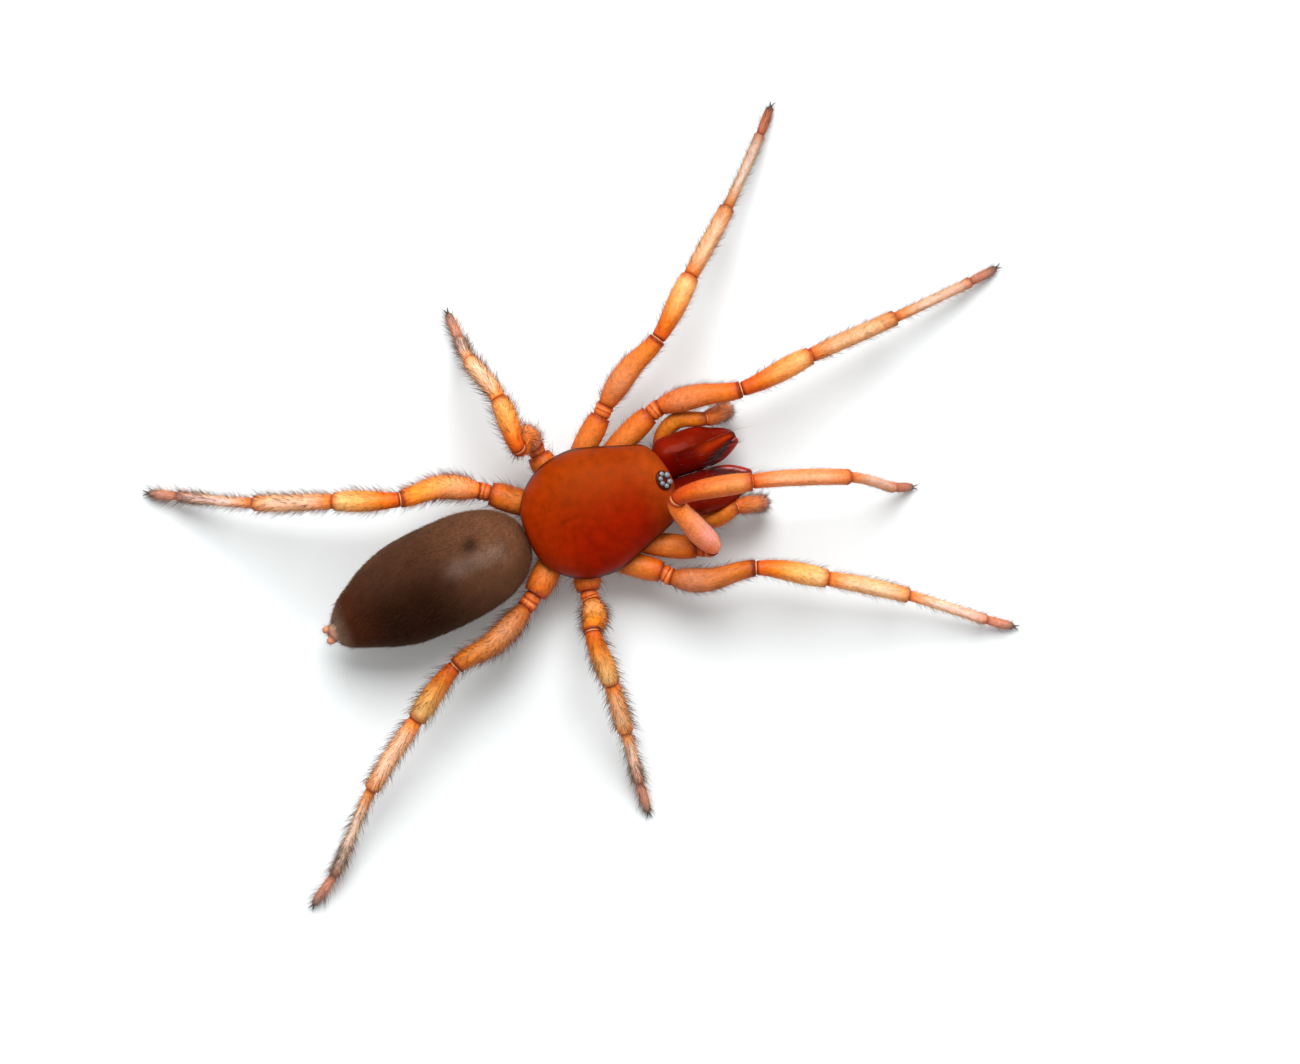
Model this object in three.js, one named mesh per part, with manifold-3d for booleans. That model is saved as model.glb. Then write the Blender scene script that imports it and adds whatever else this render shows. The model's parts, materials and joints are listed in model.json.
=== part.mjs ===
// A woodlouse spider at life size, standing in a fixed pose on the floor z = 0.
// Millimetres, +X ahead, +Y to the spider's left, +Z up. Places are given from the middle of
// the carapace, and the whole group is centred over the origin at the end.
import * as THREE from 'three';
import { mergeVertices } from 'three/addons/utils/BufferGeometryUtils.js';
import Module from 'manifold-3d';

const wasm = await Module();
wasm.setup();

// Spaces left between pieces that touch
const jointGap = 0.24;
const eyeGap = 0.1;

// Number of sides of a leg's section and of a body section
const legSides = 10;
const bodySides = 20;

// Carapace: half width and top height along its length
const carapace = {
  ahead: [-2.46, -2.36, -2.1, -1.7, -1.1, -0.4, 0.3, 1.03, 1.75, 2.4, 2.9, 3.14, 3.24],
  halfWidth: [0.5, 0.98, 1.42, 1.84, 2.2, 2.36, 2.36, 2.14, 1.88, 1.64, 1.36, 1.02, 0.66],
  top: [2.72, 2.95, 3.2, 3.46, 3.66, 3.74, 3.74, 3.7, 3.62, 3.52, 3.34, 3.14, 2.78],
  rim: 2.44,
  underside: 2.3,
};

// Abdomen: half width, drift of its middle line to the right, top and bottom along its length
const abdomen = {
  ahead: [-2.5, -2.68, -3.1, -3.8, -4.7, -5.7, -6.7, -7.6, -8.5, -9.2, -9.7, -10.05, -10.2],
  halfWidth: [0.42, 0.85, 1.32, 1.7, 1.9, 1.96, 1.95, 1.86, 1.59, 1.26, 0.93, 0.55, 0.25],
  middle: [0.02, 0.02, 0.02, 0, -0.02, -0.06, -0.1, -0.14, -0.18, -0.23, -0.28, -0.33, -0.36],
  top: [2.75, 3.3, 3.78, 4.12, 4.3, 4.34, 4.3, 4.16, 3.84, 3.4, 2.92, 2.48, 2.24],
  bottom: [1.95, 1.5, 1.14, 0.92, 0.84, 0.86, 0.92, 1.02, 1.16, 1.34, 1.52, 1.7, 1.86],
};

const sternum = { middle: -0.15, halfLength: 1.7, halfWidth: 0.84, height: 0.5, level: 1.58 };
const pedicel = { front: -2.08, rear: -2.3, width: 0.28, level: 1.95 };
const eyes = { ahead: 2.93, level: 3.3, tilt: 0.5, mound: 0.32, eyeRadius: 0.09, ring: 0.19 };

// Jaws: how far the pair lies to the right, and each jaw's own run from base to tip
const jaw = {
  hinge: 3.2,
  shift: -0.08,
  turn: -0.08,
  ahead: [3.5, 3.72, 4.1, 4.5, 4.9, 5.3, 5.65, 5.9],
  outward: [0.83, 0.84, 0.84, 0.88, 0.93, 0.96, 0.96, 0.9],
  halfWidth: [0.52, 0.62, 0.62, 0.56, 0.46, 0.34, 0.22, 0.1],
  level: [2.16, 2.16, 2.1, 2.0, 1.9, 1.8, 1.7, 1.62],
  halfHeight: [0.56, 0.66, 0.66, 0.6, 0.5, 0.38, 0.26, 0.12],
};
const fang = {
  route: [[6.02, 0.6, 1.56], [5.6, 0.4, 1.6], [5.1, 0.2, 1.62], [4.7, 0.09, 1.64]],
  radius: [0.16, 0.2, 0.19, 0.16, 0.11, 0.045],
};

// Palps and legs: the joints from the body outwards, [ahead, left, up]
const palpJoints = {
  left: [[3.1, 1.0, 1.62], [3.62, 1.6, 1.7], [4.25, 1.84, 1.86], [5.25, 1.5, 1.98],
    [5.95, 1.5, 1.36], [6.1, 1.5, 0.5]],
  right: [[3.1, -1.08, 1.62], [3.6, -1.72, 1.7], [4.15, -2.06, 1.86], [5.03, -1.95, 1.92],
    [5.8, -2.12, 1.36], [6.0, -2.18, 0.5]],
};
const palpRadius = {
  femur: [0.22, 0.25, 0.27, 0.27, 0.26, 0.25, 0.24],
  tibia: [0.25, 0.28, 0.29, 0.29, 0.28],
  tarsus: [0.27, 0.29, 0.29, 0.25, 0.14],
};

// hip, coxa end, trochanter end, knee, patella end, tibia end, metatarsus end, tip;
// arch is one more point on the way of a bent femur
const legs = {
  left_leg_1: {
    joints: [[1.05, 1.5, 1.75], [3.42, 2.43, 1.95], [3.87, 2.54, 1.98], [6.86, 1.95, 2.95],
      [9.66, 2.1, 2.7], [13.13, 2.2, 1.7], [16.3, 2.36, 0.6], [17.4, 2.47, 0.2]],
    arch: [5.3, 2.36, 2.55],
  },
  left_leg_2: {
    joints: [[0.05, 1.75, 1.75], [1.73, 3.09, 1.95], [2.08, 3.4, 1.98], [4.77, 4.85, 2.95],
      [6.74, 6.48, 2.75], [9.02, 8.34, 1.65], [11.24, 10.42, 0.6], [12.03, 11.25, 0.2]],
    arch: [3.36, 4.24, 2.6],
  },
  left_leg_3: {
    joints: [[-0.6, 1.12, 1.75], [-0.94, 2.67, 1.95], [-0.92, 3.05, 2.02], [-1.45, 3.14, 4.0],
      [-1.42, 5.01, 3.75], [-1.87, 6.79, 2.5], [-1.97, 7.8, 0.6], [-2.02, 8.85, 0.2]],
    arch: [-1.14, 3.45, 3.02],
  },
  left_leg_4: {
    joints: [[-1.6, 0.8, 1.75], [-3.11, 2.06, 1.95], [-3.5, 2.34, 1.98], [-6.15, 3.1, 3.9],
      [-8.39, 3.96, 3.7], [-11.18, 5.09, 2.5], [-13.86, 6.52, 0.6], [-14.86, 7.06, 0.2]],
    arch: [-4.7, 2.96, 3.0],
  },
  right_leg_1: {
    joints: [[1.05, -1.65, 1.75], [3.1, -2.75, 1.95], [3.6, -2.95, 2.1], [3.1, -0.86, 4.2],
      [5.85, -1.31, 4.6], [9.14, -2.52, 3.8], [10.68, -3.53, 0.95], [11.34, -3.8, 0.2]],
    arch: [3.3, -1.98, 3.2],
  },
  right_leg_2: {
    joints: [[-0.1, -1.8, 1.75], [1.56, -3.07, 1.95], [1.86, -3.4, 1.98], [4.8, -4.27, 2.85],
      [7.05, -5.64, 2.6], [9.59, -7.41, 1.6], [11.94, -9.4, 0.6], [12.79, -10.04, 0.2]],
    arch: [3.0, -3.98, 2.5],
  },
  right_leg_3: {
    joints: [[-0.6, -1.12, 1.75], [-1.2, -2.65, 1.95], [-1.24, -3.08, 2.02], [-1.6, -4.06, 3.8],
      [-1.71, -6.03, 3.15], [-1.95, -7.93, 1.85], [-2.25, -9.9, 0.6], [-2.4, -11.07, 0.2]],
    arch: [-1.36, -3.72, 3.0],
  },
  right_leg_4: {
    joints: [[-1.6, -0.8, 1.75], [-3.06, -1.99, 1.95], [-3.58, -2.32, 1.98], [-6.72, -3.29, 2.95],
      [-8.8, -4.51, 2.75], [-11.39, -6.25, 1.75], [-14.02, -8.66, 0.6], [-15.18, -9.4, 0.2]],
    arch: [-5.12, -3.05, 2.7],
  },
};

// Radii from the near end of each leg article to its far end
const legRadius = {
  coxa: [0.3, 0.37, 0.41, 0.42, 0.4, 0.36],
  trochanter: [0.3, 0.36, 0.35, 0.32],
  femur: [0.31, 0.39, 0.44, 0.44, 0.41, 0.37, 0.34, 0.32],
  patella: [0.26, 0.3, 0.35, 0.39, 0.4, 0.36, 0.3],
  tibia: [0.26, 0.29, 0.3, 0.3, 0.29, 0.27],
  metatarsus: [0.24, 0.25, 0.25, 0.25, 0.25, 0.26],
  tarsus: [0.22, 0.25, 0.25, 0.24, 0.16],
};
const claw = { length: 0.3, radius: 0.07, spread: 0.42 };

const colours = {
  carapace: [0x8f2410, 0.25], jaw: [0x6b140a, 0.22], fang: [0x2e0805, 0.2],
  abdomen: [0x54433a, 0.75], spinnerets: [0xd98a62, 0.6], leg: [0xe07a2c, 0.45],
  coxa: [0xb4520c, 0.4], foot: [0xd69a78, 0.5], underside: [0x9c4516, 0.4],
  eyes: [0x1a1614, 0.12],
};

const spider = new THREE.Group();
const up = new THREE.Vector3(0, 0, 1);

function addMesh(name, geometry, finish) {
  const [color, roughness] = colours[finish];
  const material = new THREE.MeshStandardMaterial({ color, roughness, metalness: 0 });
  const mesh = new THREE.Mesh(geometry, material);
  mesh.name = name;
  spider.add(mesh);
}

// A closed skin over rings of equally many points, each ring turning the right-handed way
// round the direction in which the rings follow one another
function skinOver(rings) {
  const sides = rings[0].length;
  const points = rings.flat();
  const faces = [];
  for (let ring = 0; ring + 1 < rings.length; ring++) {
    for (let side = 0; side < sides; side++) {
      const next = (side + 1) % sides;
      const a = ring * sides + side;
      const b = ring * sides + next;
      faces.push(a, b, b + sides, a, b + sides, a + sides);
    }
  }
  const addCap = (ring, first, isEnd) => {
    const middle = new THREE.Vector3();
    ring.forEach((point) => middle.addScaledVector(point, 1 / sides));
    const apex = points.push(middle) - 1;
    for (let side = 0; side < sides; side++) {
      const next = (side + 1) % sides;
      faces.push(apex, first + (isEnd ? side : next), first + (isEnd ? next : side));
    }
  };
  addCap(rings[0], 0, false);
  addCap(rings.at(-1), (rings.length - 1) * sides, true);
  const geometry = new THREE.BufferGeometry().setFromPoints(points);
  geometry.setIndex(faces);
  return geometry;
}

// A ring of points round a centre, square to a direction, its first point towards sideways
function ringRound(centre, direction, sideways, radius, sides) {
  const lift = new THREE.Vector3().crossVectors(direction, sideways).normalize();
  const across = new THREE.Vector3().crossVectors(lift, direction);
  const ring = [];
  for (let side = 0; side < sides; side++) {
    const angle = (2 * Math.PI * side) / sides;
    ring.push(centre.clone()
      .addScaledVector(across, radius * Math.cos(angle))
      .addScaledVector(lift, radius * Math.sin(angle)));
  }
  return ring;
}

// Rings of one article, from point first to point last of a limb's route. Both ends stand
// half a gap off the joint, square to the limb there, so two articles meet face to face.
function articleRings(limb, first, last, radii, startGap = jointGap, endGap = jointGap) {
  const { route, sideways } = limb;
  const steps = route.points.length - 1;
  const rings = [];
  radii.forEach((radius, i) => {
    const share = i / (radii.length - 1);
    const at = (first + (last - first) * share) / steps;
    const direction = route.getTangent(at);
    const centre = route.getPoint(at);
    if (i === 0) centre.addScaledVector(direction, startGap / 2);
    if (share === 1) centre.addScaledVector(direction, -endGap / 2);
    rings.push(ringRound(centre, direction, sideways, radius, legSides));
  });
  return rings;
}

function limbAlong(points) {
  const places = points.map((point) => new THREE.Vector3(...point));
  const reach = places.at(-1).clone().sub(places[0]).setZ(0).normalize();
  return {
    route: new THREE.CatmullRomCurve3(places, false, 'centripetal'),
    sideways: new THREE.Vector3().crossVectors(up, reach),
  };
}

// Nothing of a foot goes below the floor, so its sole is a small flat at z = 0
function onFloor(rings) {
  rings.flat().forEach((point) => point.setZ(Math.max(point.z, 0)));
  return rings;
}

function toSolid(geometry) {
  const bare = geometry.index && !geometry.attributes.normal ? geometry : geometry.clone();
  bare.deleteAttribute('normal');
  bare.deleteAttribute('uv');
  const merged = mergeVertices(bare, 1e-4);
  return new wasm.Manifold(new wasm.Mesh({
    numProp: 3,
    vertProperties: new Float32Array(merged.attributes.position.array),
    triVerts: new Uint32Array(merged.index.array),
  }));
}

// Joins pieces into one body and keeps the largest closed surface
function fuse(geometries) {
  const joined = geometries.map(toSolid).reduce((whole, piece) => whole.add(piece));
  const parts = joined.decompose().sort((a, b) => b.volume() - a.volume());
  const { vertProperties, triVerts } = parts[0].getMesh();
  const geometry = new THREE.BufferGeometry();
  geometry.setAttribute('position', new THREE.BufferAttribute(vertProperties, 3));
  geometry.setIndex(new THREE.BufferAttribute(triVerts, 1));
  return geometry;
}

// Carapace: a domed shield with a low rim and a flat underside
function carapaceRings() {
  return carapace.ahead.map((ahead, i) => {
    const ring = [];
    for (let side = 0; side < bodySides; side++) {
      const angle = (2 * Math.PI * side) / bodySides;
      const sine = Math.sin(angle);
      const rise = sine > 0
        ? carapace.rim + (carapace.top[i] - carapace.rim) * sine ** 0.9
        : carapace.rim - (carapace.rim - carapace.underside) * (-sine) ** 0.4;
      ring.push(new THREE.Vector3(ahead, carapace.halfWidth[i] * Math.cos(angle), rise));
    }
    return ring;
  });
}
addMesh('carapace', skinOver(carapaceRings()), 'carapace');

// Abdomen: an egg with its own top, bottom and middle line, its rings running backwards
function abdomenRings() {
  return abdomen.ahead.map((ahead, i) => {
    const level = (abdomen.top[i] + abdomen.bottom[i]) / 2;
    const halfHeight = (abdomen.top[i] - abdomen.bottom[i]) / 2;
    const ring = [];
    for (let side = 0; side < bodySides; side++) {
      const angle = (2 * Math.PI * side) / bodySides;
      const left = abdomen.middle[i] - abdomen.halfWidth[i] * Math.cos(angle);
      ring.push(new THREE.Vector3(ahead, left, level + halfHeight * Math.sin(angle)));
    }
    return ring;
  });
}
addMesh('abdomen', skinOver(abdomenRings()), 'abdomen');

function ellipsoid(centre, radii, around = 14, along = 9) {
  return new THREE.SphereGeometry(1, around, along)
    .scale(...radii)
    .translate(...centre);
}

// Underside: sternum, labium, the maxilla at the base of each palp, and the narrow waist
addMesh('sternum', ellipsoid([sternum.middle, 0, sternum.level],
  [sternum.halfLength, sternum.halfWidth, sternum.height], 18, 10), 'underside');
addMesh('labium', ellipsoid([2.12, 0, 1.42], [0.3, 0.24, 0.26], 10, 7), 'underside');
const waist = limbAlong([[pedicel.front, 0, pedicel.level], [pedicel.rear, 0, pedicel.level]]);
addMesh('pedicel', skinOver(articleRings(waist, 0, 1, [pedicel.width, pedicel.width], 0, 0)),
  'underside');

// Spinnerets: a low cone with three pairs of short blunt cones set in it
function spinneretCone(from, to, base, tip) {
  const limb = limbAlong([from, to]);
  return skinOver(articleRings(limb, 0, 1, [base, (base + tip) / 1.9, tip], 0, 0));
}
const spinneretRoot = [-10.36, -0.37, 2.02];
const spinneretCones = [spinneretCone(spinneretRoot, [-10.5, -0.42, 1.98], 0.32, 0.28)];
for (const [out, lift, length] of [[0.24, 0.12, 0.26], [0.26, -0.1, 0.22], [0.08, -0.02, 0.18]]) {
  for (const side of [-1, 1]) {
    const from = [-10.44, -0.42 + side * out * 0.75, 1.98 + lift * 0.8];
    const to = [from[0] - length, from[1] + side * 0.06, from[2] + lift * 0.3 - 0.03];
    spinneretCones.push(spinneretCone(from, to, 0.13, 0.08));
  }
}
addMesh('spinnerets', fuse(spinneretCones), 'spinnerets');

// Eyes: six domes in a close ring on a low mound at the front of the head
function eyeCluster() {
  const pieces = [ellipsoid([0, 0, 0], [eyes.mound, eyes.mound, 0.1], 16, 8)];
  for (let eye = 0; eye < 6; eye++) {
    const angle = (Math.PI / 3) * eye + Math.PI / 6;
    const place = [eyes.ring * Math.cos(angle), eyes.ring * Math.sin(angle), 0.06];
    pieces.push(ellipsoid(place, [eyes.eyeRadius, eyes.eyeRadius, eyes.eyeRadius], 8, 6));
  }
  return fuse(pieces)
    .rotateY(eyes.tilt)
    .translate(eyes.ahead, 0, eyes.level + eyeGap);
}
addMesh('eyes', eyeCluster(), 'eyes');

// Jaws, fangs, palps: mirrored pairs, except that each palp keeps its own pose and the jaws
// are turned a little to the right together
function jawMiddle(ahead) {
  return jaw.shift + jaw.turn * (ahead - jaw.hinge);
}

function jawRings(side) {
  return jaw.ahead.map((ahead, i) => {
    const middle = side * jaw.outward[i] + jawMiddle(ahead);
    const ring = [];
    for (let k = 0; k < 12; k++) {
      const angle = (2 * Math.PI * k) / 12;
      const left = middle + jaw.halfWidth[i] * Math.cos(angle);
      ring.push(new THREE.Vector3(ahead, left, jaw.level[i] + jaw.halfHeight[i] * Math.sin(angle)));
    }
    return ring;
  });
}

for (const [name, side] of [['left', 1], ['right', -1]]) {
  addMesh(`${name}_chelicera`, skinOver(jawRings(side)), 'jaw');
  const fangLimb = limbAlong(fang.route.map(([x, y, z]) => [x, side * y + jawMiddle(x), z]));
  addMesh(`${name}_fang`, skinOver(articleRings(fangLimb, 0, 3, fang.radius, 0, 0)), 'fang');
  const maxilla = ellipsoid([0, 0, 0], [0.72, 0.26, 0.26], 12, 8)
    .rotateZ(side * 0.25)
    .translate(2.5, side * 0.52, 1.36);
  addMesh(`${name}_maxilla`, maxilla, 'underside');

  const palp = limbAlong(palpJoints[name]);
  const femur = skinOver(articleRings(palp, 0, 3, palpRadius.femur));
  const tibia = skinOver(articleRings(palp, 3, 4, palpRadius.tibia));
  const tarsus = skinOver(articleRings(palp, 4, 5, palpRadius.tarsus, jointGap, 0));
  addMesh(`${name}_palp_femur`, femur, 'coxa');
  addMesh(`${name}_palp_tibia`, tibia, 'leg');
  addMesh(`${name}_palp_tarsus`, tarsus, 'foot');
}

// A pair of small hooked claws, spread in a V ahead of a foot's tip
function claws(limb) {
  const tip = limb.route.points.at(-1);
  const ahead = limb.route.getTangent(1).setZ(0).normalize();
  const left = new THREE.Vector3().crossVectors(up, ahead);
  return [-1, 1].map((side) => {
    const reach = (share) => tip.clone()
      .addScaledVector(ahead, claw.length * share)
      .addScaledVector(left, side * claw.length * claw.spread * Math.max(share, 0));
    const points = [reach(-0.4), reach(0.5), reach(1)];
    points[0].z = 0.17;
    points[1].z = 0.17;
    points[2].z = 0.09;
    const hook = limbAlong(points.map((point) => point.toArray()));
    return skinOver(articleRings(hook, 0, 2, [claw.radius, claw.radius, 0.025], 0, 0));
  });
}

// A leg: five nodes, coxa with trochanter, femur, patella, tibia, and metatarsus with tarsus.
// Route points: 0 hip, 1 coxa, 2 trochanter, 3 arch, 4 knee, 5 patella, 6 tibia, 7, 8 foot.
for (const [name, { joints, arch }] of Object.entries(legs)) {
  const limb = limbAlong([...joints.slice(0, 3), arch, ...joints.slice(3)]);
  const hipRings = [
    ...articleRings(limb, 0, 1, legRadius.coxa, 0, 0.06),
    ...articleRings(limb, 1, 2, legRadius.trochanter, 0.06),
  ];
  const footRings = onFloor([
    ...articleRings(limb, 6, 7, legRadius.metatarsus, jointGap, 0.08),
    ...articleRings(limb, 7, 8, legRadius.tarsus, 0.08, 0),
  ]);
  addMesh(`${name}_coxa`, skinOver(hipRings), 'coxa');
  addMesh(`${name}_femur`, skinOver(articleRings(limb, 2, 4, legRadius.femur)), 'leg');
  addMesh(`${name}_patella`, skinOver(articleRings(limb, 4, 5, legRadius.patella)), 'leg');
  addMesh(`${name}_tibia`, skinOver(articleRings(limb, 5, 6, legRadius.tibia)), 'leg');
  addMesh(`${name}_foot`, fuse([skinOver(footRings), ...claws(limb)]), 'foot');
}

const extent = new THREE.Box3().setFromObject(spider);
const middle = extent.getCenter(new THREE.Vector3());
spider.position.set(-middle.x, -middle.y, -extent.min.z);

export default spider;
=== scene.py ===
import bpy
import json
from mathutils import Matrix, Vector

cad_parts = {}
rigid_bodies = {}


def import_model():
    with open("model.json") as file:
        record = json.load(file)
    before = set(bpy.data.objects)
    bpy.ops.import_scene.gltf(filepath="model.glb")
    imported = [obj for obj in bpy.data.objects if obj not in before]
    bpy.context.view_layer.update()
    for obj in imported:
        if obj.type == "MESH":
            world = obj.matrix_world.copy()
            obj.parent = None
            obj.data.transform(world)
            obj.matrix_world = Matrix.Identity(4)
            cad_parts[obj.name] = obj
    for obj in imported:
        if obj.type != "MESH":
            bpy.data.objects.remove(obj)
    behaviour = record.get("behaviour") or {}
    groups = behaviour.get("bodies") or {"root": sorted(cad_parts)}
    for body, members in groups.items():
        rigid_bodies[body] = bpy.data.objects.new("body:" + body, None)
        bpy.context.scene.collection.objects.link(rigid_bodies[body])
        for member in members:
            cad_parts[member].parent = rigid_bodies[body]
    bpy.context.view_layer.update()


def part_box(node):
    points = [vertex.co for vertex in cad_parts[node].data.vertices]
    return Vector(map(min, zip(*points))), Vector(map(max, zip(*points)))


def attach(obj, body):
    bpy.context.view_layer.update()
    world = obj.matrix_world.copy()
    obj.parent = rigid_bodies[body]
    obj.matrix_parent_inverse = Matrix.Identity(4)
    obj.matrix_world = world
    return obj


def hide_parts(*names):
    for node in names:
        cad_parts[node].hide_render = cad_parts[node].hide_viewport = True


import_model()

import json
import math

import bpy
import numpy as np
from mathutils import Matrix, Vector

mm = 0.001

# The frame's origin is under the middle of the whole box. Places below are in millimetres
# from the middle of the carapace, which starts this far ahead of its own rear edge.
carapaceRear = 2.46
carapaceLow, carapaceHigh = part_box("carapace")
originX = carapaceLow.x / mm + carapaceRear
originY = (carapaceLow.y + carapaceHigh.y) / 2 / mm
print("carapace middle at", round(originX, 3), round(originY, 3))


def place(points):
    # millimetres from the middle of the carapace to metres in the frame
    points = np.asarray(points, float)
    return (points + np.array([originX, originY, 0.0])) * mm


def srgb(red, green, blue):
    # a colour as a screen shows it, 0 to 255, to the linear one that Blender works with
    value = np.array([red, green, blue], float) / 255
    return np.where(value <= 0.04045, value / 12.92, ((value + 0.055) / 1.055) ** 2.4)


# Camera: straight down, as high as the photograph's own perspective is mild
cameraSet = {
    "lens": 100.0, "sensor": 36.0, "frameWidth": 47.7,   # mm across the picture at the body
    "lookAt": (1.74, -1.54, 2.2),                        # mm from the middle of the carapace
    "right": (0.9205, -0.3907, 0.0),
}


def makeCamera():
    data = bpy.data.cameras.new("camera")
    data.lens = cameraSet["lens"]
    data.sensor_width = cameraSet["sensor"]
    camera = bpy.data.objects.new("camera", data)
    bpy.context.collection.objects.link(camera)
    distance = cameraSet["frameWidth"] * mm * cameraSet["lens"] / cameraSet["sensor"]
    target = Vector(place(cameraSet["lookAt"]))
    right = Vector(cameraSet["right"]).normalized()
    back = Vector((0, 0, 1))
    upward = back.cross(right)
    turn = Matrix((right, upward, back)).transposed().to_4x4()
    camera.matrix_world = Matrix.Translation(target + back * distance) @ turn
    data.clip_start, data.clip_end = 0.005, 2.0
    bpy.context.scene.camera = camera
    print("camera", [round(v, 4) for v in camera.location])


makeCamera()


# Studio: a white floor, a bright even room and one broad soft light from the upper left
studio = {
    "floorSize": 0.6, "floorColour": (0.68, 0.705, 0.71), "floorRough": 0.9, "floorShine": 0.1,
    "roomStrength": 0.57, "roomMirrored": 0.06,
    "keyPlace": (0.068, 0.162, 0.25), "keySize": 0.2, "keyPower": 1.36,
    "fillPlace": (0.20, -0.12, 0.22), "fillSize": 0.2, "fillPower": 0.12,
}


def makeStudio():
    bpy.context.scene.view_settings.view_transform = "Standard"
    half = studio["floorSize"] / 2
    mesh = bpy.data.meshes.new("floor")
    corners = [(-half, -half, 0), (half, -half, 0), (half, half, 0), (-half, half, 0)]
    mesh.from_pydata(corners, [], [(0, 1, 2, 3)])
    floor = bpy.data.objects.new("floor", mesh)
    bpy.context.collection.objects.link(floor)
    material = bpy.data.materials.new("whiteFloor")
    material.use_nodes = True
    shader = material.node_tree.nodes["Principled BSDF"]
    shader.inputs["Base Color"].default_value = (*studio["floorColour"], 1)
    shader.inputs["Roughness"].default_value = studio["floorRough"]
    shader.inputs["Specular IOR Level"].default_value = studio["floorShine"]
    mesh.materials.append(material)
    world = bpy.data.worlds.new("room")
    world.use_nodes = True
    nodes, links = world.node_tree.nodes, world.node_tree.links
    nodes["Background"].inputs["Color"].default_value = (1, 1, 1, 1)
    # glossy shells mirror a dimmer room, as under lights with a polariser
    path = nodes.new("ShaderNodeLightPath")
    dim = nodes.new("ShaderNodeMapRange")
    dim.inputs["To Min"].default_value = studio["roomStrength"]
    dim.inputs["To Max"].default_value = studio["roomMirrored"]
    links.new(path.outputs["Is Glossy Ray"], dim.inputs["Value"])
    links.new(dim.outputs["Result"], nodes["Background"].inputs["Strength"])
    bpy.context.scene.world = world
    for name in ("key", "fill"):
        light = bpy.data.lights.new(name, "AREA")
        light.size = studio[name + "Size"]
        light.energy = studio[name + "Power"]
        lamp = bpy.data.objects.new(name, light)
        lamp.location = studio[name + "Place"]
        lamp.rotation_euler = (-Vector(studio[name + "Place"])).to_track_quat("-Z", "Y").to_euler()
        bpy.context.collection.objects.link(lamp)


makeStudio()
print("camera, lights and floor done")


# Curves, lofts and colours that every piece is built from

def routeThrough(points):
    # a smooth curve through points, spaced by the root of their distance; gives places and directions
    knots = np.array(points, float)
    knots = np.vstack([2 * knots[0] - knots[1], knots, 2 * knots[-1] - knots[-2]])
    spans = len(knots) - 3

    def at(shares):
        spot = np.clip(np.atleast_1d(shares), 0, 1) * spans
        index = np.minimum(spot.astype(int), spans - 1)
        w = (spot - index)[:, None]
        a, b, c, d = (knots[index + k] for k in range(4))
        ab = np.linalg.norm(b - a, axis=1, keepdims=True) ** 0.5
        bc = np.linalg.norm(c - b, axis=1, keepdims=True) ** 0.5
        cd = np.linalg.norm(d - c, axis=1, keepdims=True) ** 0.5
        leave = ((b - a) / ab - (c - a) / (ab + bc) + (c - b) / bc) * bc
        arrive = ((c - b) / bc - (d - b) / (bc + cd) + (d - c) / cd) * bc
        square = -3 * b + 3 * c - 2 * leave - arrive
        cube = 2 * b - 2 * c + leave + arrive
        spots = b + leave * w + square * w ** 2 + cube * w ** 3
        slope = leave + 2 * square * w + 3 * cube * w ** 2
        return spots, slope / np.linalg.norm(slope, axis=1, keepdims=True)

    return at


def smoothTable(values, shares):
    # a short table read at any shares of its length by a smooth curve
    values = np.asarray(values, float)
    flat = values.ndim == 1
    rows = values[:, None] if flat else values
    rows = np.vstack([2 * rows[0] - rows[1], rows, 2 * rows[-1] - rows[-2]])
    spans = len(rows) - 3
    spot = np.clip(np.asarray(shares, float), 0, 1) * spans
    index = np.minimum(spot.astype(int), spans - 1)
    w = (spot - index)[:, None]
    a, b, c, d = (rows[index + k] for k in range(4))
    result = b + 0.5 * w * (c - a + w * (2 * a - 5 * b + 4 * c - d + w * (3 * (b - c) + d - a)))
    return result[:, 0] if flat else result


def smoothStep(low, high, value):
    w = np.clip((value - low) / (high - low), 0, 1)
    return w * w * (3 - 2 * w)


def toward(tone, colour, share):
    # tones drawn to a colour by a share of their own at each point
    return tone + (srgb(*colour) - tone) * share[..., None]


def plainTint(rings, colour):
    return np.broadcast_to(srgb(*colour), rings.shape)


def blendStops(stops, shares):
    # colours along a length: stops are (share, colour)
    places = [stop[0] for stop in stops]
    colours = np.array([srgb(*stop[1]) for stop in stops])
    return np.stack([np.interp(shares, places, colours[:, k]) for k in range(3)], axis=1)


def circle(sides):
    return 2 * np.pi * np.arange(sides) / sides


def ringsRound(centres, directions, sideways, across, lift, sides):
    # rings square to their directions; across and lift are their half axes
    lifts = np.cross(directions, sideways)
    lifts /= np.linalg.norm(lifts, axis=1, keepdims=True)
    sidesOut = np.cross(lifts, directions)
    angles = circle(sides)
    return (centres[:, None, :]
            + (across[:, None] * np.cos(angles))[:, :, None] * sidesOut[:, None, :]
            + (lift[:, None] * np.sin(angles))[:, :, None] * lifts[:, None, :])


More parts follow.
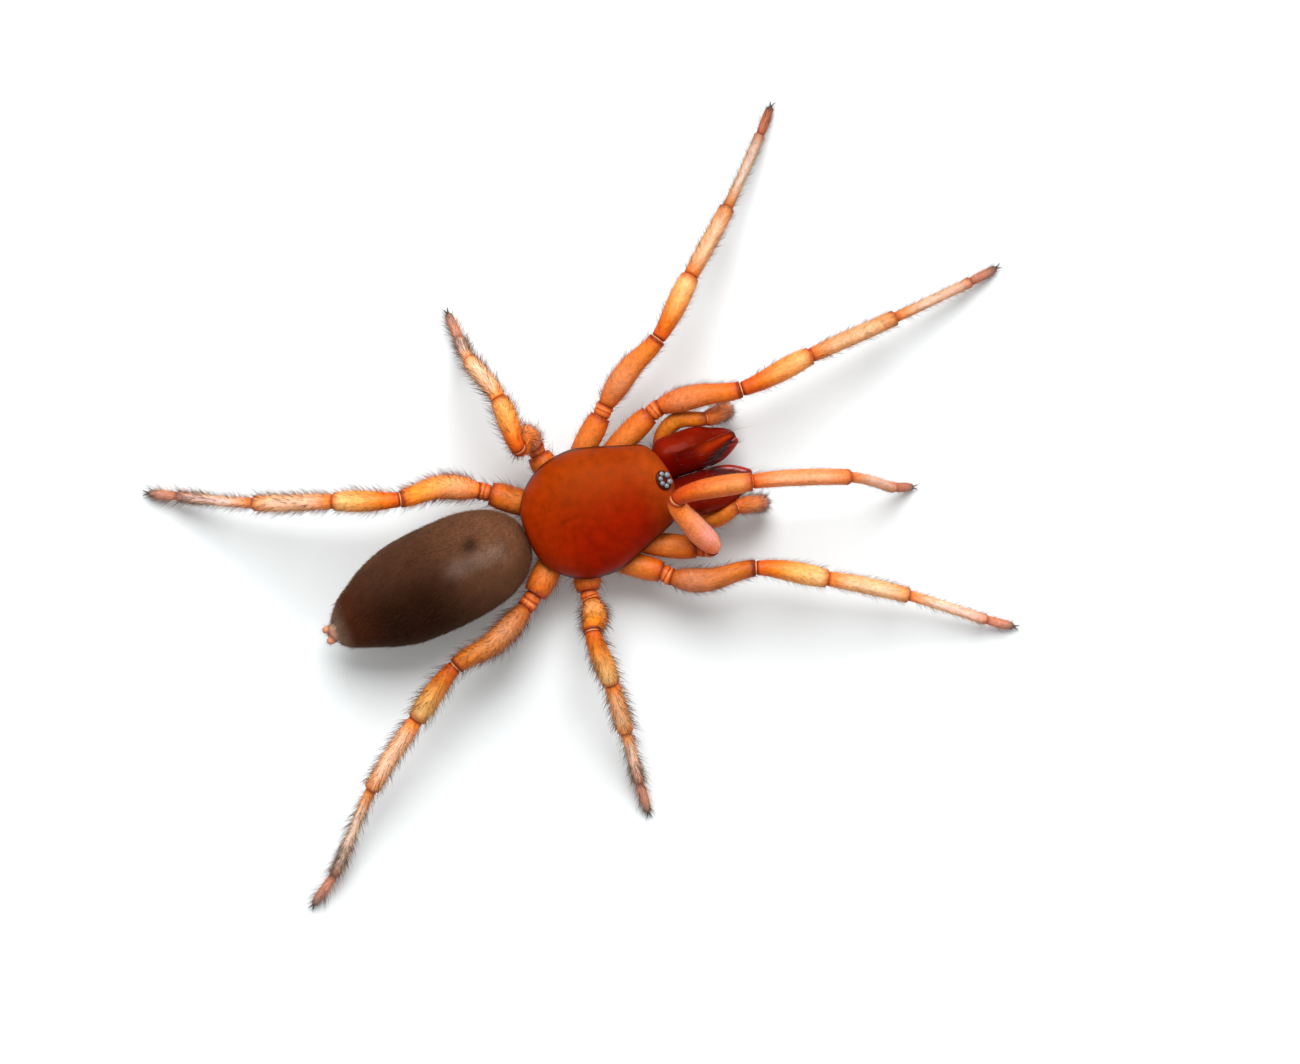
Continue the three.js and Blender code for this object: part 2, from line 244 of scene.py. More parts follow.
def loft(name, rings, attributes):
    # a closed skin over rings in millimetres, its attributes given for each ring and side
    ringCount, sides = rings.shape[:2]
    caps = np.array([rings[0].mean(axis=0), rings[-1].mean(axis=0)])
    points = place(np.vstack([rings.reshape(-1, 3), caps]))
    a = (np.arange(ringCount - 1)[:, None] * sides + np.arange(sides)).ravel()
    b = (np.arange(ringCount - 1)[:, None] * sides + (np.arange(sides) + 1) % sides).ravel()
    faces = np.stack([a, b, b + sides, a + sides], axis=1).tolist()
    near, far = ringCount * sides, ringCount * sides + 1
    last = (ringCount - 1) * sides
    for side in range(sides):
        follow = (side + 1) % sides
        faces.append([near, follow, side])
        faces.append([far, last + side, last + follow])
    mesh = bpy.data.meshes.new(name)
    mesh.from_pydata(points.tolist(), [], faces)
    angles, along = circle(sides), np.linspace(0, 1, ringCount)
    ringPlace = np.stack(
        np.broadcast_arrays(np.cos(angles), np.sin(angles), along[:, None]), axis=2)
    lie = np.gradient(rings, axis=0)
    lie /= np.maximum(np.linalg.norm(lie, axis=2, keepdims=True), 1e-9)
    for label, values in {"ringPlace": ringPlace, "lie": lie, **attributes}.items():
        storeLayer(mesh, label, np.vstack([
            values.reshape(ringCount * sides, -1), values[0].mean(axis=0), values[-1].mean(axis=0)]))
    mesh.polygons.foreach_set("use_smooth", [True] * len(mesh.polygons))
    mesh.update()
    return addObject(name, mesh)


def domeRings(centre, radii, rings=18, sides=24):
    polar = np.linspace(0.02, np.pi - 0.02, rings)
    angles = circle(sides)
    x = np.sin(polar)[:, None] * np.cos(angles) * radii[0]
    y = np.sin(polar)[:, None] * np.sin(angles) * radii[1]
    z = -np.cos(polar)[:, None] * radii[2] * np.ones(sides)
    return np.stack([x, y, z], axis=2) + np.array(centre)


def storeLayer(mesh, label, values):
    # tint is a colour, three numbers are a vector, one is a plain value
    if label == "tint":
        layer = mesh.attributes.new(label, "FLOAT_COLOR", "POINT")
        full = np.hstack([values, np.ones((len(values), 1))])
        layer.data.foreach_set("color", full.ravel())
    elif values.shape[1] == 3:
        mesh.attributes.new(label, "FLOAT_VECTOR", "POINT").data.foreach_set("vector", values.ravel())
    else:
        mesh.attributes.new(label, "FLOAT", "POINT").data.foreach_set("value", values.ravel())


def addObject(name, mesh):
    piece = bpy.data.objects.new(name, mesh)
    bpy.context.collection.objects.link(piece)
    return piece


def dress(piece, look, nodes=()):
    # every piece rides on the one body, takes its look if it has one and stands for its nodes
    if look:
        piece.data.materials.clear()
        piece.data.materials.append(materials[look])
    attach(piece, "root")
    if nodes:
        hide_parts(*nodes)


def layeredNoise(points, scale, seed):
    # a smooth random value from -1 to 1 at each point, from a few crossed waves
    local = np.random.default_rng(seed)
    total = np.zeros(points.shape[:-1])
    for octave in range(9):
        wave = local.normal(size=3) * scale * (1 + 0.5 * octave)
        total += np.sin(points @ wave + local.uniform(0, 6.3)) / (1 + 0.5 * octave)
    return total / 3


# Materials and node trees

def fill(tree, node, inputs):
    # each input takes a value, or a link from another node's socket
    for label, value in inputs.items():
        if isinstance(value, bpy.types.NodeSocket):
            tree.links.new(value, node.inputs[label])
        else:
            node.inputs[label].default_value = value


def addNode(tree, kind, inputs=None, **settings):
    node = tree.nodes.new(kind)
    for label, value in settings.items():
        setattr(node, label, value)
    fill(tree, node, inputs or {})
    return node


def addMath(tree, operation, *values, kind="ShaderNodeMath", **named):
    inputs = {**dict(enumerate(values)), **named}
    return addNode(tree, kind, inputs, operation=operation).outputs[0]


def openGroup(kind, name, inputs, outputs):
    # a new node group; gives the tree, what its inputs bring and the outputs to link to
    tree = bpy.data.node_groups.new(name, kind)
    for label, (socketType, value) in inputs.items():
        socket = tree.interface.new_socket(label, in_out="INPUT",
                                           socket_type="NodeSocket" + socketType)
        if value is not None:
            socket.default_value = value
    for label, socketType in outputs.items():
        tree.interface.new_socket(label, in_out="OUTPUT", socket_type="NodeSocket" + socketType)
    return tree, addNode(tree, "NodeGroupInput").outputs, addNode(tree, "NodeGroupOutput").inputs


def mapNoise(tree, value, low, high):
    # noise lies mostly between 0.3 and 0.7
    return addNode(tree, "ShaderNodeMapRange", {
        "Value": value, "From Min": 0.3, "From Max": 0.7, "To Min": low, "To Max": high,
    }).outputs["Result"]


cuticleSet = {"mottleDetail": 4, "pitDetail": 3, "streakDetail": 3, "streakScale": (7, 7, 16)}


def makeCuticleGroup():
    # mottled colour, fine pits and lengthwise streaks for every hard skin
    tree, take, give = openGroup("ShaderNodeTree", "cuticle", {
        "Color": ("Color", (0.8, 0.4, 0.1, 1)), "Mottle Scale": ("Float", 900.0),
        "Mottle": ("Float", 0.25), "Pit Scale": ("Float", 9000.0), "Streak": ("Float", 0.0),
    }, {"Color": "Color", "Height": "Float", "Gloss Mask": "Float"})

    def noise(vector, scale, detail):
        inputs = {"Vector": vector, "Scale": scale, "Detail": detail}
        return addNode(tree, "ShaderNodeTexNoise", inputs).outputs["Fac"]

    spot = addNode(tree, "ShaderNodeTexCoord").outputs["Object"]
    mottle = noise(spot, take["Mottle Scale"], cuticleSet["mottleDetail"])
    pits = noise(spot, take["Pit Scale"], cuticleSet["pitDetail"])
    spin = addNode(tree, "ShaderNodeAttribute", attribute_name="ringPlace").outputs["Vector"]
    stretched = addNode(tree, "ShaderNodeMapping", {
        "Vector": spin, "Scale": cuticleSet["streakScale"]}).outputs["Vector"]
    streaks = noise(stretched, 1.0, cuticleSet["streakDetail"])
    mottleShade = mapNoise(tree, mottle, addMath(tree, "SUBTRACT", 1.0, take["Mottle"]),
                           addMath(tree, "ADD", 1.0, take["Mottle"]))
    streakShade = addMath(tree, "MULTIPLY_ADD", addMath(tree, "SUBTRACT", streaks, 0.5),
                          take["Streak"], 1.0)
    shade = addMath(tree, "MULTIPLY", mottleShade, streakShade)
    colour = addMath(tree, "SCALE", take["Color"], kind="ShaderNodeVectorMath", Scale=shade)
    height = addMath(tree, "ADD", addMath(tree, "MULTIPLY", streaks, take["Streak"]), pits)
    for label, value in (("Color", colour), ("Height", height), ("Gloss Mask", mottle)):
        tree.links.new(value, give[label])
    return tree


cuticleGroup = makeCuticleGroup()


def newMaterial(name):
    # a material's tree and shader, and the tint that the points of a piece carry
    material = bpy.data.materials.new(name)
    material.use_nodes = True
    tree = material.node_tree
    tint = addNode(tree, "ShaderNodeAttribute", attribute_name="tint").outputs["Color"]
    return material, tree, tree.nodes["Principled BSDF"], tint


# What a shell has where its look says nothing; rough is the least and most roughness
shellDefaults = {
    "mottleScale": 900.0, "mottle": 0.2, "pitScale": 9000.0, "streak": 0.0, "bump": 0.3,
    "bumpDepth": 0.00002, "coat": 0.0, "coatRough": 0.15, "glow": 0.0, "glowDepth": 0.0003,
    "glowReach": (1.0, 0.45, 0.2), "shine": 0.5, "shineTint": (1, 1, 1),
}


def shellMaterial(name, look):
    look = {**shellDefaults, **look}
    material, tree, shader, tint = newMaterial(name)
    skin = addNode(tree, "ShaderNodeGroup", node_tree=cuticleGroup)
    fill(tree, skin, {
        "Color": tint, "Mottle Scale": look["mottleScale"], "Mottle": look["mottle"],
        "Pit Scale": look["pitScale"], "Streak": look["streak"]})
    bump = addNode(tree, "ShaderNodeBump", {
        "Strength": look["bump"], "Distance": look["bumpDepth"],
        "Height": skin.outputs["Height"]})
    fill(tree, shader, {
        "Base Color": skin.outputs["Color"],
        "Roughness": mapNoise(tree, skin.outputs["Gloss Mask"], *look["rough"]),
        "Normal": bump.outputs["Normal"],
        "Coat Weight": look["coat"],
        "Coat Roughness": look["coatRough"],
        "Subsurface Weight": look["glow"],
        "Subsurface Radius": look["glowReach"],
        "Subsurface Scale": look["glowDepth"],
        "Specular IOR Level": look["shine"],
        "Specular Tint": (*look["shineTint"], 1),
    })
    return material


def hairMaterial(name, look):
    # hairs take the tint of the skin at their root, drawn towards their own colour
    look = {"rough": 0.45, "shine": 0.4, **look}
    material, tree, shader, tint = newMaterial(name)
    along = addNode(tree, "ShaderNodeAttribute", attribute_name="alongHair").outputs["Fac"]
    ownShare = addNode(tree, "ShaderNodeMapRange", {
        "Value": along, "To Min": look["own"][0], "To Max": look["own"][1]}).outputs["Result"]
    # 6, 7 and 2 are the places of the Mix node's two colours and of its mixed one
    mix = addNode(tree, "ShaderNodeMix", {
        "Factor": ownShare, 6: tint, 7: (*srgb(*look["colour"]), 1)}, data_type="RGBA")
    fill(tree, shader, {"Base Color": mix.outputs[2], "Roughness": look["rough"],
                        "Specular IOR Level": look["shine"]})
    return material


materials = {
    "carapace": shellMaterial("carapaceShell", {
        "rough": (0.4, 0.5), "bump": 0.25, "mottle": 0.14, "mottleScale": 3200,
        "pitScale": 16000, "shine": 0.12, "shineTint": (1, 0.4, 0.12)}),
    "jaw": shellMaterial("jawShell", {
        "rough": (0.3, 0.42), "bump": 0.25, "mottle": 0.2, "mottleScale": 1500,
        "pitScale": 11000, "shine": 0.1, "shineTint": (1, 0.3, 0.08), "coat": 0.04,
        "coatRough": 0.1}),
    "fang": shellMaterial("fangHorn", {
        "rough": (0.2, 0.3), "bump": 0.1, "mottle": 0.2, "mottleScale": 2500, "shine": 0.3,
        "coat": 0.2}),
    "leg": shellMaterial("legShell", {
        "rough": (0.4, 0.55), "bump": 0.45, "mottle": 0.16, "mottleScale": 8000,
        "pitScale": 14000, "streak": 0.45, "shine": 0.2, "glow": 0.3, "glowDepth": 0.00018}),
    "abdomen": shellMaterial("abdomenSkin", {
        "rough": (0.7, 0.85), "bump": 0.4, "mottle": 0.15, "mottleScale": 1500,
        "pitScale": 9000, "shine": 0.04}),
    "soft": shellMaterial("softSkin", {
        "rough": (0.5, 0.65), "bump": 0.3, "mottle": 0.15, "mottleScale": 3000, "glow": 0.3}),
    "lens": shellMaterial("eyeLens", {
        "rough": (0.1, 0.16), "bump": 0.0, "mottle": 0.1, "mottleScale": 4000, "coat": 0.5,
        "coatRough": 0.03}),
    "claw": shellMaterial("clawHorn", {
        "rough": (0.25, 0.4), "bump": 0.1, "mottle": 0.2, "mottleScale": 4000}),
    "fineHair": hairMaterial("fineHair", {"colour": (116, 72, 52), "own": (0.2, 0.7),
                                          "shine": 0.2}),
    "darkHair": hairMaterial("darkHair", {"colour": (48, 30, 24), "own": (0.9, 1.0)}),
    "greyHair": hairMaterial("greyHair", {"colour": (112, 104, 100), "own": (0.6, 0.95)}),
    "brushHair": hairMaterial("brushHair", {"colour": (92, 84, 80), "own": (0.8, 1.0)}),
    "abdomenHair": hairMaterial("abdomenHair", {"colour": (140, 112, 90), "own": (0.0, 0.22),
                                                "rough": 0.7, "shine": 0.04}),
}
print("materials done")


# Hair: one tree for all, grown where a mask says, lying along the skin's own direction
hairSets = {
    "fineHair": {"Density": 1.9e8, "Length": 0.0002, "Thickness": 0.025, "Rise": 1.3, "Bend": 0.2,
                 "Unevenness": 0.35, "Shortest": 0.5, "Points": 3},
    "bristle": {"Density": 8e7, "Length": 0.0004, "Thickness": 0.018, "Rise": 1.5,
                "Bend": 0.3, "Unevenness": 0.35, "Shortest": 0.45, "Points": 4},
    "brush": {"Density": 2.2e8, "Length": 0.00026, "Thickness": 0.035, "Rise": 0.8, "Bend": 0.1,
              "Unevenness": 0.2, "Shortest": 0.6, "Points": 3},
}
hairShape = {"longest": 1.15, "thinning": 0.92, "tubeSides": 3}


def hairTree(mask):
    usual = hairSets[mask]
    tree, take, give = openGroup("GeometryNodeTree", mask + "Tree", {
        "Geometry": ("Geometry", None), "Density": ("Float", usual["Density"]),
        "Length": ("Float", usual["Length"]), "Thickness": ("Float", usual["Thickness"]),
        "Rise": ("Float", usual["Rise"]), "Bend": ("Float", usual["Bend"]),
        "Unevenness": ("Float", usual["Unevenness"]), "Shortest": ("Float", usual["Shortest"]),
        "Points": ("Int", usual["Points"]), "Seed": ("Int", 1), "Material": ("Material", None),
    }, {"Geometry": "Geometry"})

    def attribute(label, kind="FLOAT"):
        return addNode(tree, "GeometryNodeInputNamedAttribute", {"Name": label},
                       data_type=kind).outputs["Attribute"]

    def times(first, second):
        return addMath(tree, "MULTIPLY", first, second)

    def vector(operation, *values, **named):
        return addMath(tree, operation, *values, kind="ShaderNodeVectorMath", **named)

    scatter = addNode(tree, "GeometryNodeDistributePointsOnFaces", {
        "Mesh": take["Geometry"], "Density": times(take["Density"], attribute(mask)),
        "Seed": take["Seed"]})
    lie = attribute("lie", "FLOAT_VECTOR")
    jitter = addNode(tree, "FunctionNodeRandomValue", {
        "Min": (-1, -1, -1), "Max": (1, 1, 1), "Seed": take["Seed"],
    }, data_type="FLOAT_VECTOR").outputs["Value"]
    standing = vector("SCALE", scatter.outputs["Normal"], Scale=take["Rise"])
    shaken = vector("SCALE", jitter, Scale=take["Unevenness"])
    upright = addNode(tree, "FunctionNodeAlignRotationToVector", {
        "Vector": vector("ADD", vector("ADD", standing, lie), shaken)}, axis="Z")
    turned = addNode(tree, "FunctionNodeAlignRotationToVector", {
        "Rotation": upright.outputs["Rotation"], "Vector": lie}, axis="X", pivot_axis="Z")

    # one hair of unit length: a bent line, and a thinning tube round it
    line = addNode(tree, "GeometryNodeCurvePrimitiveLine", {"End": (0, 0, 1)})
    cut = addNode(tree, "GeometryNodeResampleCurve", {
        "Curve": line.outputs["Curve"], "Count": take["Points"]})
    factor = addNode(tree, "GeometryNodeSplineParameter").outputs["Factor"]
    offset = addNode(tree, "ShaderNodeCombineXYZ", {
        "X": times(times(factor, factor), take["Bend"])})
    bow = addNode(tree, "GeometryNodeSetPosition", {
        "Geometry": cut.outputs["Curve"], "Offset": offset.outputs["Vector"]})
    taper = addMath(tree, "SUBTRACT", 1.0, times(factor, hairShape["thinning"]))
    thin = addNode(tree, "GeometryNodeSetCurveRadius", {
        "Curve": bow.outputs["Geometry"], "Radius": taper})
    keep = addNode(tree, "GeometryNodeStoreNamedAttribute", {
        "Geometry": thin.outputs["Curve"], "Name": "alongHair", "Value": factor,
    }, data_type="FLOAT", domain="POINT")
    profile = addNode(tree, "GeometryNodeCurvePrimitiveCircle", {
        "Resolution": hairShape["tubeSides"], "Radius": take["Thickness"]})
    tube = addNode(tree, "GeometryNodeCurveToMesh", {
        "Curve": keep.outputs["Geometry"], "Profile Curve": profile.outputs["Curve"],
        "Scale": taper, "Fill Caps": True})

    # 2, 3 and output 1 are the places of the Random Value node's plain numbers
    size = addNode(tree, "FunctionNodeRandomValue", {
        2: take["Shortest"], 3: hairShape["longest"],
        "Seed": addMath(tree, "ADD", take["Seed"], 11)}, data_type="FLOAT").outputs[1]
    plant = addNode(tree, "GeometryNodeInstanceOnPoints", {
        "Points": scatter.outputs["Points"], "Instance": tube.outputs["Mesh"],
        "Rotation": turned.outputs["Rotation"],
        "Scale": times(times(size, take["Length"]), attribute("hairLength"))})
    realize = addNode(tree, "GeometryNodeRealizeInstances", {
        "Geometry": plant.outputs["Instances"]})
    paint = addNode(tree, "GeometryNodeSetMaterial", {
        "Geometry": realize.outputs["Geometry"], "Material": take["Material"]})
    tree.links.new(paint.outputs["Geometry"], give["Geometry"])
    return tree


hairTrees = {mask: hairTree(mask) for mask in hairSets}


def growHair(name, skin, mask, look, slot, **changes):
    # grows hair on a copy of the skin and keeps only the hair, as a plain mesh
    settings = {**hairSets[mask], **changes}
    piece = addObject(name, skin.data.copy())
    tree = hairTrees[mask]
    modifier = piece.modifiers.new("hair", "NODES")
    modifier.node_group = tree
    named = {item.name: item.identifier for item in tree.interface.items_tree
             if item.item_type == "SOCKET" and item.in_out == "INPUT"}
    for label, value in settings.items():
        modifier[named[label]] = value
    modifier[named["Material"]] = materials[look]
    graph = bpy.context.evaluated_depsgraph_get()
    grown = bpy.data.meshes.new_from_object(piece.evaluated_get(graph),
                                            preserve_all_data_layers=True, depsgraph=graph)
    piece.modifiers.remove(modifier)
    piece.data = grown
    if not len(grown.vertices):
        bpy.data.objects.remove(piece)
        return
    addBakeMap(grown, settings["Points"])
    grown.polygons.foreach_set("use_smooth", [True] * len(grown.polygons))
    dress(piece, None)


# The map to bake on: a patch for each hair, inside an empty edge
bakeMap = {"patch": 0.003, "edge": 0.01}


def addBakeMap(mesh, points):
    # each hair's patch is at its root's place on the unrolled skin
    count = len(mesh.vertices)
    spot = np.zeros(count * 3)
    mesh.attributes["ringPlace"].data.foreach_get("vector", spot)
    spot = spot.reshape(-1, 3)
    around, up = np.divmod(np.arange(count) % (points * hairShape["tubeSides"]),
                           hairShape["tubeSides"])[::-1]
    patch, edge = bakeMap["patch"], bakeMap["edge"]
    u = np.arctan2(spot[:, 1], spot[:, 0]) / (2 * np.pi) % 1
    u = edge + (1 - 2 * edge) * u + patch * (around / 2 - 0.5)
    v = edge + (1 - 2 * edge) * spot[:, 2] + patch * (up / max(points - 1, 1) - 0.5)
    corners = np.zeros(len(mesh.loops), np.int64)
    mesh.loops.foreach_get("vertex_index", corners)
    layer = mesh.uv_layers.new(name="OFBake")
    layer.data.foreach_set("uv", np.stack([u[corners], v[corners]], axis=1).ravel())


print("hair trees done")


# Legs and palps: the joints from the body outwards, as in the solids
legJoints = {
    "left_leg_1": [(1.05, 1.5, 1.75), (3.42, 2.43, 1.95), (3.87, 2.54, 1.98), (5.3, 2.36, 2.55),
                   (6.86, 1.95, 2.95), (9.66, 2.1, 2.7), (13.13, 2.2, 1.7), (16.3, 2.36, 0.6),
                   (17.4, 2.47, 0.2)],
    "left_leg_2": [(0.05, 1.75, 1.75), (1.73, 3.09, 1.95), (2.08, 3.4, 1.98), (3.36, 4.24, 2.6),
                   (4.77, 4.85, 2.95), (6.74, 6.48, 2.75), (9.02, 8.34, 1.65), (11.24, 10.42, 0.6),
                   (12.03, 11.25, 0.2)],
    "left_leg_3": [(-0.6, 1.12, 1.75), (-0.94, 2.67, 1.95), (-0.92, 3.05, 2.02),
                   (-1.14, 3.45, 3.02), (-1.45, 3.14, 4.0), (-1.42, 5.01, 3.75), (-1.87, 6.79, 2.5),
                   (-1.97, 7.8, 0.6), (-2.02, 8.85, 0.2)],
    "left_leg_4": [(-1.6, 0.8, 1.75), (-3.11, 2.06, 1.95), (-3.5, 2.34, 1.98), (-4.7, 2.96, 3.0),
                   (-6.15, 3.1, 3.9), (-8.39, 3.96, 3.7), (-11.18, 5.09, 2.5), (-13.86, 6.52, 0.6),
                   (-14.86, 7.06, 0.2)],
    "right_leg_1": [(1.05, -1.65, 1.75), (3.1, -2.75, 1.95), (3.6, -2.95, 2.1), (3.3, -1.98, 3.2),
                    (3.1, -0.86, 4.2), (5.85, -1.31, 4.6), (9.14, -2.52, 3.8),
                    (10.68, -3.53, 0.95), (11.34, -3.8, 0.2)],
    "right_leg_2": [(-0.1, -1.8, 1.75), (1.56, -3.07, 1.95), (1.86, -3.4, 1.98),
                    (3.0, -3.98, 2.5), (4.8, -4.27, 2.85), (7.05, -5.64, 2.6), (9.59, -7.41, 1.6),
                    (11.94, -9.4, 0.6), (12.79, -10.04, 0.2)],
    "right_leg_3": [(-0.6, -1.12, 1.75), (-1.2, -2.65, 1.95), (-1.24, -3.08, 2.02),
                    (-1.36, -3.72, 3.0), (-1.6, -4.06, 3.8), (-1.71, -6.03, 3.15),
                    (-1.95, -7.93, 1.85), (-2.25, -9.9, 0.6), (-2.4, -11.07, 0.2)],
    "right_leg_4": [(-1.6, -0.8, 1.75), (-3.06, -1.99, 1.95), (-3.58, -2.32, 1.98),
                    (-5.12, -3.05, 2.7), (-6.72, -3.29, 2.95), (-8.8, -4.51, 2.75),
                    (-11.39, -6.25, 1.75), (-14.02, -8.66, 0.6), (-15.18, -9.4, 0.2)],
}
darkRim = (128, 38, 8)
kneeMembrane = (244, 168, 104)
otherMembrane = (206, 96, 34)
# Each article: first and last point of the route, radii, colours along it, hair growth
legArticles = {
    "coxa": {"span": (0, 1), "radius": [0.3, 0.37, 0.42, 0.43, 0.41, 0.34],
             "tints": [(0, (164, 68, 6)), (0.5, (206, 112, 40)), (0.85, (200, 98, 20)),
                       (0.96, (164, 60, 8)), (1, darkRim)], "fine": 0.4, "bristle": 0.15},
    # the pale bands on the trochanter are painted highlights on its folds
    "trochanter": {"span": (1, 2), "radius": [0.29, 0.33, 0.31, 0.34, 0.3],
                   "tints": [(0, darkRim), (0.22, (226, 116, 40)), (0.42, (160, 54, 8)),
                             (0.6, (240, 142, 72)), (0.8, (206, 90, 18)), (1, darkRim)],
                   "fine": 0.2, "bristle": 0.3},
    "femur": {"span": (2, 4), "radius": [0.29, 0.38, 0.44, 0.44, 0.41, 0.37, 0.34, 0.3],
              "tints": [(0, (160, 52, 6)), (0.04, (210, 96, 22)), (0.1, (224, 118, 52)),
                        (0.35, (228, 138, 86)), (0.6, (228, 130, 62)), (0.85, (230, 122, 32)),
                        (0.955, (212, 98, 20)), (0.972, darkRim), (1, darkRim)],
              "fine": 1.0, "bristle": 0.8},
    "patella": {"span": (4, 5), "radius": [0.27, 0.3, 0.34, 0.375, 0.39, 0.375, 0.32],
                "tints": [(0, darkRim), (0.02, darkRim), (0.06, (212, 86, 2)), (0.3, (230, 118, 14)),
                          (0.6, (246, 166, 80)), (0.88, (248, 184, 108)), (0.96, (222, 126, 54)),
                          (1, darkRim)], "fine": 0.7, "bristle": 0.6},
    "tibia": {"span": (5, 6), "radius": [0.27, 0.29, 0.3, 0.3, 0.295, 0.28],
              "tints": [(0, (180, 70, 8)), (0.06, (238, 138, 54)), (0.25, (246, 186, 134)),
                        (0.7, (248, 196, 148)), (0.93, (240, 160, 92)), (1, darkRim)],
              "fine": 1.0, "bristle": 1.0},
    "metatarsus": {"span": (6, 7), "radius": [0.2, 0.19, 0.185, 0.185, 0.19, 0.205],
                   "tints": [(0, (196, 90, 22)), (0.08, (236, 150, 84)), (0.35, (242, 198, 168)),
                             (0.8, (236, 186, 158)), (0.95, (214, 142, 106)), (1, (146, 78, 50))],
                   "fine": 1.0, "bristle": 1.0},
    "tarsus": {"span": (7, 8), "radius": [0.15, 0.17, 0.17, 0.165, 0.125],
               "tints": [(0, (176, 100, 70)), (0.15, (216, 150, 124)), (0.6, (206, 146, 124)),
                         (0.85, (164, 126, 110)), (1, (100, 82, 76))], "fine": 1.6, "bristle": 0.9},
}
palpJoints = {
    "left": [(3.1, 1.0, 1.62), (3.62, 1.6, 1.7), (4.25, 1.84, 1.86), (5.25, 1.5, 1.98),
             (5.95, 1.5, 1.36), (6.1, 1.5, 0.5)],
    "right": [(3.1, -1.08, 1.62), (3.6, -1.72, 1.7), (4.15, -2.06, 1.86), (5.03, -1.95, 1.92),
              (5.8, -2.12, 1.36), (6.0, -2.18, 0.5)],
}
palpArticles = {
    "femur": {"span": (0, 3), "radius": [0.22, 0.27, 0.31, 0.32, 0.31, 0.29, 0.25],
              "tints": [(0, (110, 20, 6)), (0.12, (140, 40, 8)), (0.25, (176, 84, 10)),
                        (0.6, (196, 110, 20)), (0.9, (208, 110, 18)), (1, darkRim)],
              "fine": 0.4, "bristle": 0.2},
    "tibia": {"span": (3, 4), "radius": [0.26, 0.31, 0.32, 0.32, 0.3],
              "tints": [(0, (196, 84, 10)), (0.15, (222, 116, 34)), (0.7, (224, 128, 66)),
                        (1, (196, 100, 54))], "fine": 1.6, "bristle": 1.2},
    "tarsus": {"span": (4, 5), "radius": [0.29, 0.31, 0.3, 0.26, 0.14],
               "tints": [(0, (212, 116, 70)), (0.4, (220, 140, 100)), (1, (172, 124, 100))],
               "fine": 2.4, "bristle": 2.0},
}
limbSet = {"sides": 32, "step": 0.075, "membraneHalf": 0.035, "membraneDepth": 0.86,
           # factors that paint shade on the flanks, a highlight along the back and shade beside it
           "edgeShade": (0.9, 0.68, 0.34), "ribbon": (1.08, 1.24, 1.5), "beside": (0.94, 0.8, 0.66),
            # each band along the back: its colour factor, place round the limb, half width
            "bands": [("ribbon", 0.0, 0.26), ("beside", 0.62, 0.2), ("beside", -0.62, 0.2)],
            "highlightTurn": 0.12, "lowHighlight": 0.45, "uneven": 0.006}
brushStarts = {"metatarsus": 0.45, "tarsus": 0.86}
# how strongly each article carries the painted highlight along its back; the raised leg carries it
# fully
highlightShares = {"patella": 1.0, "tibia": 0.85, "metatarsus": 0.4, "femur": 0.25}
rearedSkins = ("right_leg_1_skin",)
# colour factors of some articles beside the colours above, fitted to the photograph: partly the leg's
# own colour, partly painted light and shade of how the light falls on each leg
articleLight = {
    "left_leg_1": {"femur": (0.9, 0.82, 0.74), "patella": (0.84, 0.76, 0.78),
                   "tibia": (0.76, 0.7, 0.66), "metatarsus": (0.76, 0.74, 0.76),
                   "tarsus": (0.68, 0.6, 0.58)},
    "left_leg_2": {"femur": (0.93, 0.97, 0.97), "patella": (0.86, 0.86, 1.0),
                   "tibia": (0.74, 0.7, 0.74), "metatarsus": (0.63, 0.7, 0.78),
                   "tarsus": (0.56, 0.37, 0.25)},
    "left_leg_3": {"femur": (1.2, 1.45, 2.2), "patella": (0.86, 0.76, 0.62),
                   "tibia": (1.02, 1.06, 1.24), "metatarsus": (1.02, 1.06, 1.15)},
    "left_leg_4": {"femur": (1.38, 1.65, 1.85), "patella": (1.0, 1.06, 1.22),
                   "tibia": (1.04, 1.04, 1.26), "metatarsus": (1.02, 1.06, 1.24)},
    "right_leg_1": {"femur": (1.24, 1.46, 3.3), "patella": (0.66, 0.42, 0.31),
                    "tibia": (0.84, 0.56, 0.46), "metatarsus": (0.84, 0.72, 0.7),
                    "tarsus": (0.7, 0.54, 0.48)},
    "right_leg_2": {"femur": (0.71, 0.76, 0.92), "patella": (0.93, 1.04, 1.35),
                    "tibia": (0.95, 0.98, 1.04), "metatarsus": (1.02, 1.04, 1.15),
                    "tarsus": (0.95, 0.85, 0.8)},
    "right_leg_3": {"femur": (1.0, 1.3, 1.2), "patella": (0.84, 0.92, 1.1),
                    "tibia": (1.06, 0.95, 0.84), "metatarsus": (1.18, 1.2, 1.26)},
    "right_leg_4": {"femur": (0.72, 0.86, 0.94), "patella": (0.7, 0.77, 0.86),
                    "tibia": (1.08, 1.1, 1.36), "metatarsus": (0.88, 1.0, 1.1)},
}


def articleShares(length):
    # close together at the ends, where the rims are
    middle = np.linspace(0.1, 0.9, max(int(0.8 * length / limbSet["step"]), 6))
    return np.concatenate([[0, 0.012, 0.03, 0.06], middle, [0.94, 0.97, 0.988, 1.0]])


def rimFactor(shares):
    # a drawn-in start, and a slightly flared rim at the far end
    places = [0, 0.012, 0.03, 0.06, 0.94, 0.97, 0.988, 1.0]
    return np.interp(shares, places, [0.9, 0.97, 1.0, 1.0, 1.0, 1.03, 1.04, 0.95])


